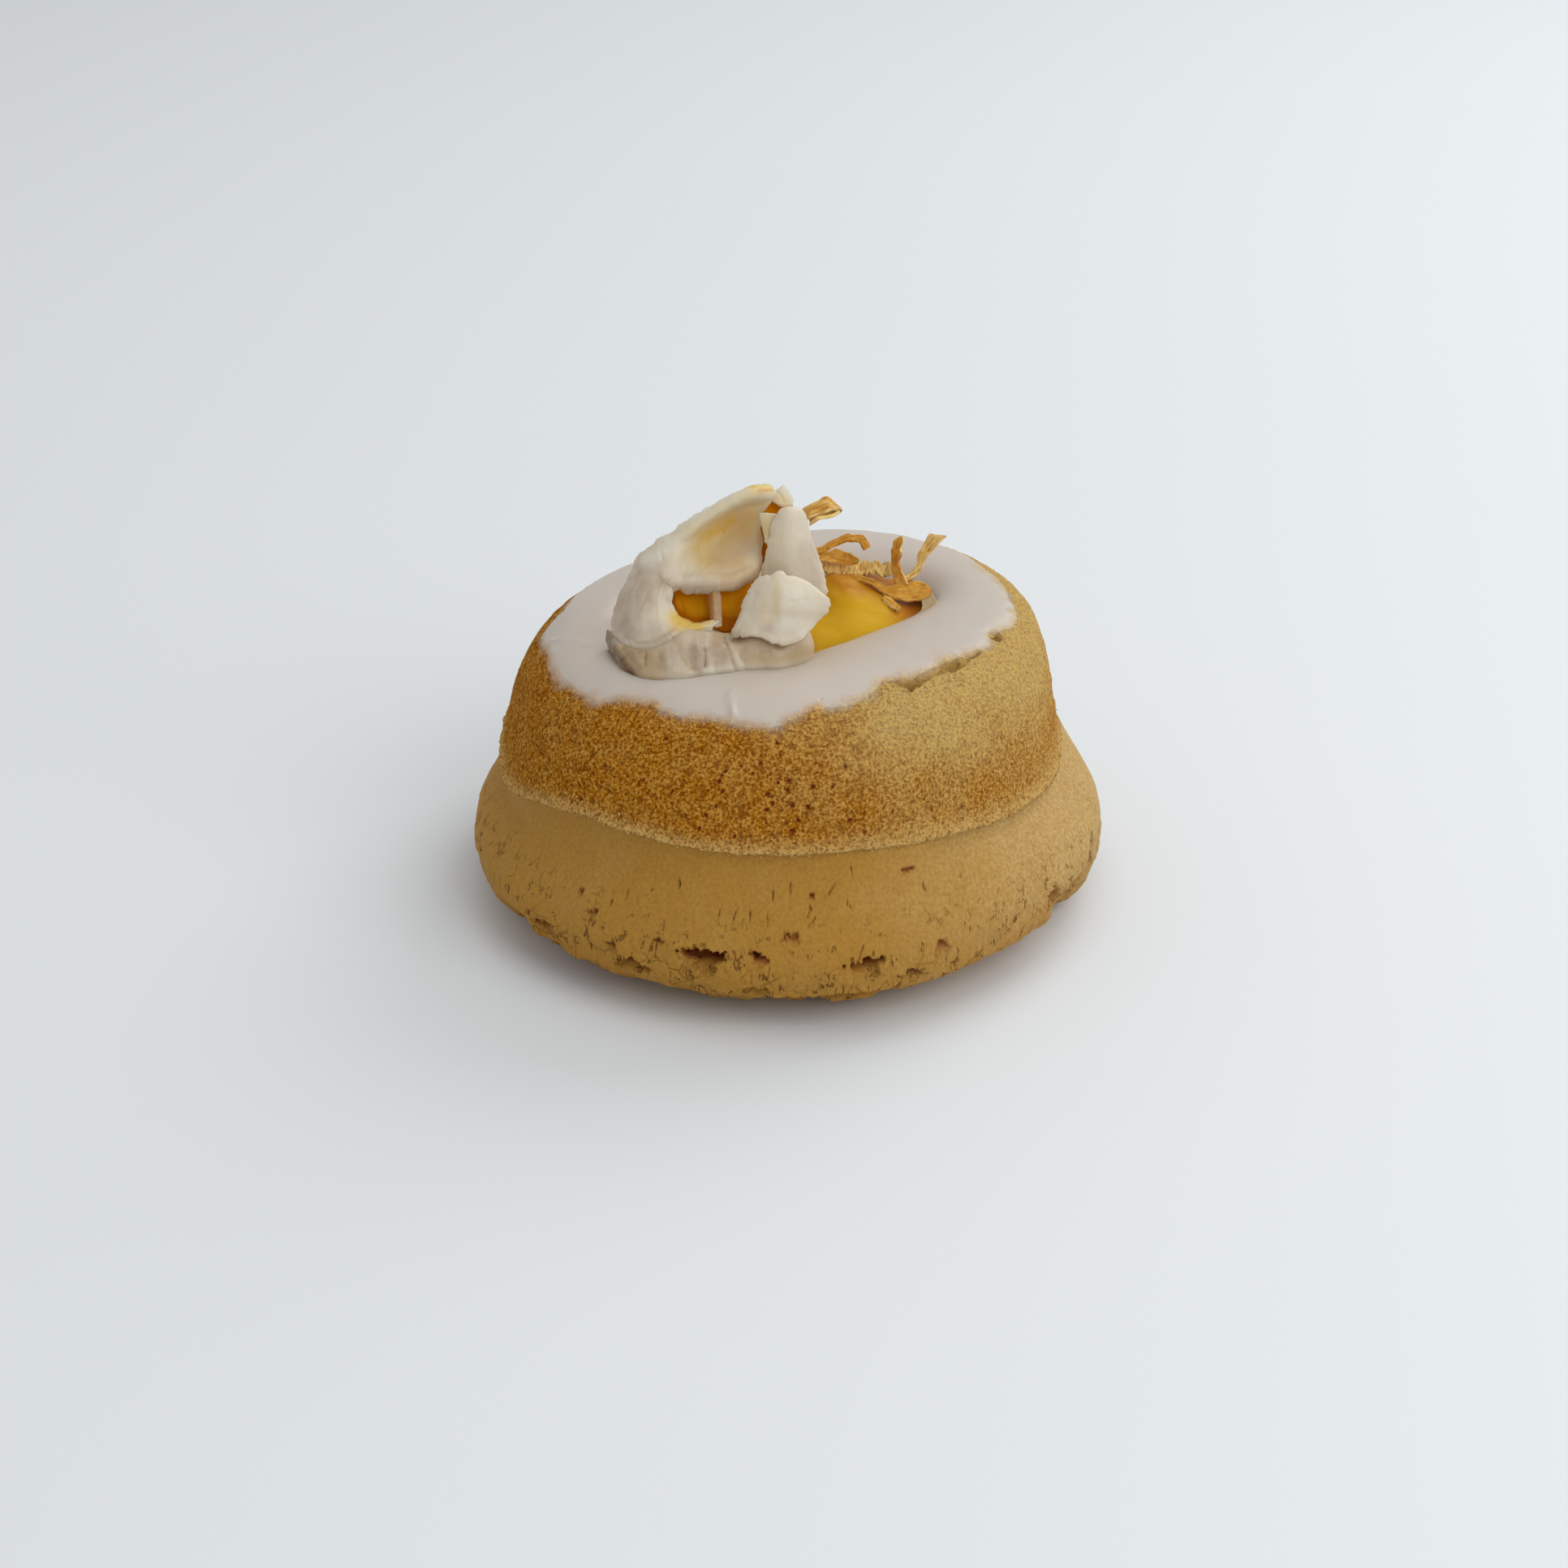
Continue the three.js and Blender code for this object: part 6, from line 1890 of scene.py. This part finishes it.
class MOCHI_OT_shreds(bpy.types.Operator):
    """Make the fried shreds behind and to the right of the fruit"""
    bl_idname = "mochi.make_shreds"
    bl_label = "Make Shreds"

    def execute(self, context):
        thick = context.scene.mochi_topping.shred_thickness * 1000
        material = shred_material()
        for seed, (name, rows) in enumerate(SHREDS.items(), SHRED_SEED):
            size = (20 * len(rows), 22)
            ragged, bite = (0.45, 0.4) if name == "shred_frayed" else (0.1, 1.3)
            obj = sheet_object(
                name, rows, material, size, thick, seed, ragged, 0.06, FIBRES[name], bite,
                add_fields=shred_tones,
            )
            finish_piece(obj, "shred", name)
        return {"FINISHED"}


# Loose crumbs


def crumb_tree(material):
    """Scatters small rough grains over the faces that it is given."""
    tree = bpy.data.node_groups.new("scatter_crumbs", "GeometryNodeTree")

    def socket(label, kind, way="INPUT"):
        return tree.interface.new_socket(name=label, in_out=way, socket_type="NodeSocket" + kind)

    def node(kind, **values):
        made = tree.nodes.new(kind)
        for key, value in values.items():
            made.inputs[key.replace("_", " ")].default_value = value
        return made

    def random_vector(**values):
        made = tree.nodes.new("FunctionNodeRandomValue")
        made.data_type = "FLOAT_VECTOR"
        for key, value in values.items():
            made.inputs[key].default_value = value
        return made

    socket("Geometry", "Geometry")
    density, size = socket("Density", "Float"), socket("Crumb Size", "Float")
    seed = socket("Seed", "Int")
    socket("Geometry", "Geometry", "OUTPUT")
    start, end = node("NodeGroupInput"), node("NodeGroupOutput")
    spread = node("GeometryNodeDistributePointsOnFaces")
    grain = node("GeometryNodeMeshIcoSphere", Subdivisions=1)
    place = node("GeometryNodeInstanceOnPoints")
    scale = random_vector(Min=(0.35, 0.35, 0.3), Max=(1.2, 1.0, 0.8))
    turn = random_vector(Max=(6.28, 6.28, 6.28))
    real = node("GeometryNodeRealizeInstances")
    coat = node("GeometryNodeSetMaterial", Material=material)
    links = (
        (start, "Geometry", spread, "Mesh"), (start, "Density", spread, "Density"),
        (start, "Seed", spread, "Seed"), (start, "Crumb Size", grain, "Radius"),
        (spread, "Points", place, "Points"), (grain, "Mesh", place, "Instance"),
        (scale, "Value", place, "Scale"), (turn, "Value", place, "Rotation"),
        (place, "Instances", real, "Geometry"), (real, "Geometry", coat, "Geometry"),
        (coat, "Geometry", end, "Geometry"),
    )
    for giver, output, taker, entry in links:
        tree.links.new(giver.outputs[output], taker.inputs[entry])
    return tree, (density.identifier, size.identifier, seed.identifier)


class MOCHI_OT_crumbs(bpy.types.Operator):
    """Scatter loose crumbs along the lip of the crust"""
    bl_idname = "mochi.make_crumbs"
    bl_label = "Make Crumbs"

    def execute(self, context):
        t, d = context.scene.mochi_topping, context.scene.mochi_dough
        lip = [2.97, CRUST_START, 3.02, 3.05, 3.09]
        _, _, p, n = ring_grid(lip, azimuths(LIP_RING))
        material = crumb_material()
        faces = ring_quads(*p.shape[:2])
        base = new_object("crumb_bed", (p + n * 0.05).reshape(-1, 3), faces, material)
        tree, (density, size, seed) = crumb_tree(material)
        modifier = base.modifiers.new("scatter", "NODES")
        modifier.node_group = tree
        modifier[density] = t.crumb_density * 1e6
        modifier[size] = t.crumb_size
        modifier[seed] = d.seed
        graph = context.evaluated_depsgraph_get()
        mesh = bpy.data.meshes.new_from_object(base.evaluated_get(graph))
        base.modifiers.remove(modifier)
        bpy.data.objects.remove(base)
        if not mesh.vertices:
            raise RuntimeError("no crumbs were scattered")
        obj = bpy.data.objects.new("lip_crumbs", mesh)
        context.scene.collection.objects.link(obj)
        finish_piece(obj, "dough")
        return {"FINISHED"}


# Stage

# Lights: place, width in m, power in watts and colour; all point at the doughnut
DAYLIGHT = (0.95, 0.98, 1.0)
LIGHTS = {
    "window_back": ((0.45, 0.5, 0.55), 0.6, 2.3, DAYLIGHT),
    "window_front": ((0.45, -0.4, 0.5), 0.6, 1.85, DAYLIGHT),
    "ceiling": ((0.1, 0.0, 0.9), 0.8, 1.0, (1.0, 0.995, 0.98)),
}
LIT_POINT = (0, 0, 0.02)
SKY = (0.96, 0.98, 1.0, 1)
SKY_STRENGTH = 0.53
FLOOR_HALF = 1500


def area_light(name, place, size, power, tone):
    data = bpy.data.lights.new(name, "AREA")
    data.shape = "DISK"
    data.size = size
    data.energy = power
    data.color = tone
    light = bpy.data.objects.new(name, data)
    light.location = place
    aim = Vector(LIT_POINT) - Vector(place)
    light.rotation_euler = aim.to_track_quat("-Z", "Y").to_euler()
    bpy.context.scene.collection.objects.link(light)


class MOCHI_OT_stage(bpy.types.Operator):
    """Make the camera, the soft light and the pale floor"""
    bl_idname = "mochi.make_stage"
    bl_label = "Make Stage"

    def execute(self, context):
        scene = context.scene
        data = bpy.data.cameras.new("camera")
        data.sensor_width, data.lens = SENSOR, LENS
        data.clip_start, data.clip_end = 0.01, 20.0
        camera = bpy.data.objects.new("camera", data)
        camera.location = EYE / 1000
        turn = Matrix.Rotation(TILT, 3, "X") @ Matrix.Rotation(ROLL, 3, "Z")
        camera.rotation_euler = turn.to_euler()
        scene.collection.objects.link(camera)
        scene.camera = camera
        corners = np.array([(-1, -1, 0), (1, -1, 0), (1, 1, 0), (-1, 1, 0)])
        floor = new_object("floor", corners * FLOOR_HALF, [(0, 1, 2, 3)], floor_material())
        for name, light in LIGHTS.items():
            area_light(name, *light)
        world = bpy.data.worlds.new("studio")
        world.use_nodes = True
        sky = world.node_tree.nodes["Background"].inputs
        sky[0].default_value, sky[1].default_value = SKY, SKY_STRENGTH
        scene.world = world
        scene.view_settings.view_transform = "Standard"
        return {"FINISHED"}


class MOCHI_PT_panel(bpy.types.Panel):
    """Lists the settings and the steps that build the doughnut"""
    bl_idname = "MOCHI_PT_panel"
    bl_label = "Mochi Doughnut"
    bl_space_type = "VIEW_3D"
    bl_region_type = "UI"
    bl_category = "Doughnut"

    def draw(self, context):
        scene = context.scene
        for settings in (scene.mochi_dough, scene.mochi_topping, scene.mochi_colours):
            box = self.layout.box()
            for key in settings.bl_rna.properties.keys():
                if key not in ("rna_type", "name"):
                    box.prop(settings, key)
        for step in STEPS:
            self.layout.operator(step.bl_idname)


STEPS = (
    MOCHI_OT_stage, MOCHI_OT_crust, MOCHI_OT_band, MOCHI_OT_icing, MOCHI_OT_filling,
    MOCHI_OT_petals, MOCHI_OT_amber, MOCHI_OT_pulp, MOCHI_OT_shreds, MOCHI_OT_crumbs,
)
CLASSES = (MochiDough, MochiTopping, MochiColours, *STEPS, MOCHI_PT_panel)


def register():
    for item in CLASSES:
        bpy.utils.register_class(item)
    bpy.types.Scene.mochi_dough = bpy.props.PointerProperty(type=MochiDough)
    bpy.types.Scene.mochi_topping = bpy.props.PointerProperty(type=MochiTopping)
    bpy.types.Scene.mochi_colours = bpy.props.PointerProperty(type=MochiColours)


def unregister():
    del bpy.types.Scene.mochi_colours
    del bpy.types.Scene.mochi_topping
    del bpy.types.Scene.mochi_dough
    for item in reversed(CLASSES):
        bpy.utils.unregister_class(item)


def main():
    register()
    for step in STEPS:
        group, name = step.bl_idname.split(".")
        getattr(getattr(bpy.ops, group), name)()


if __name__ == "__main__":
    main()
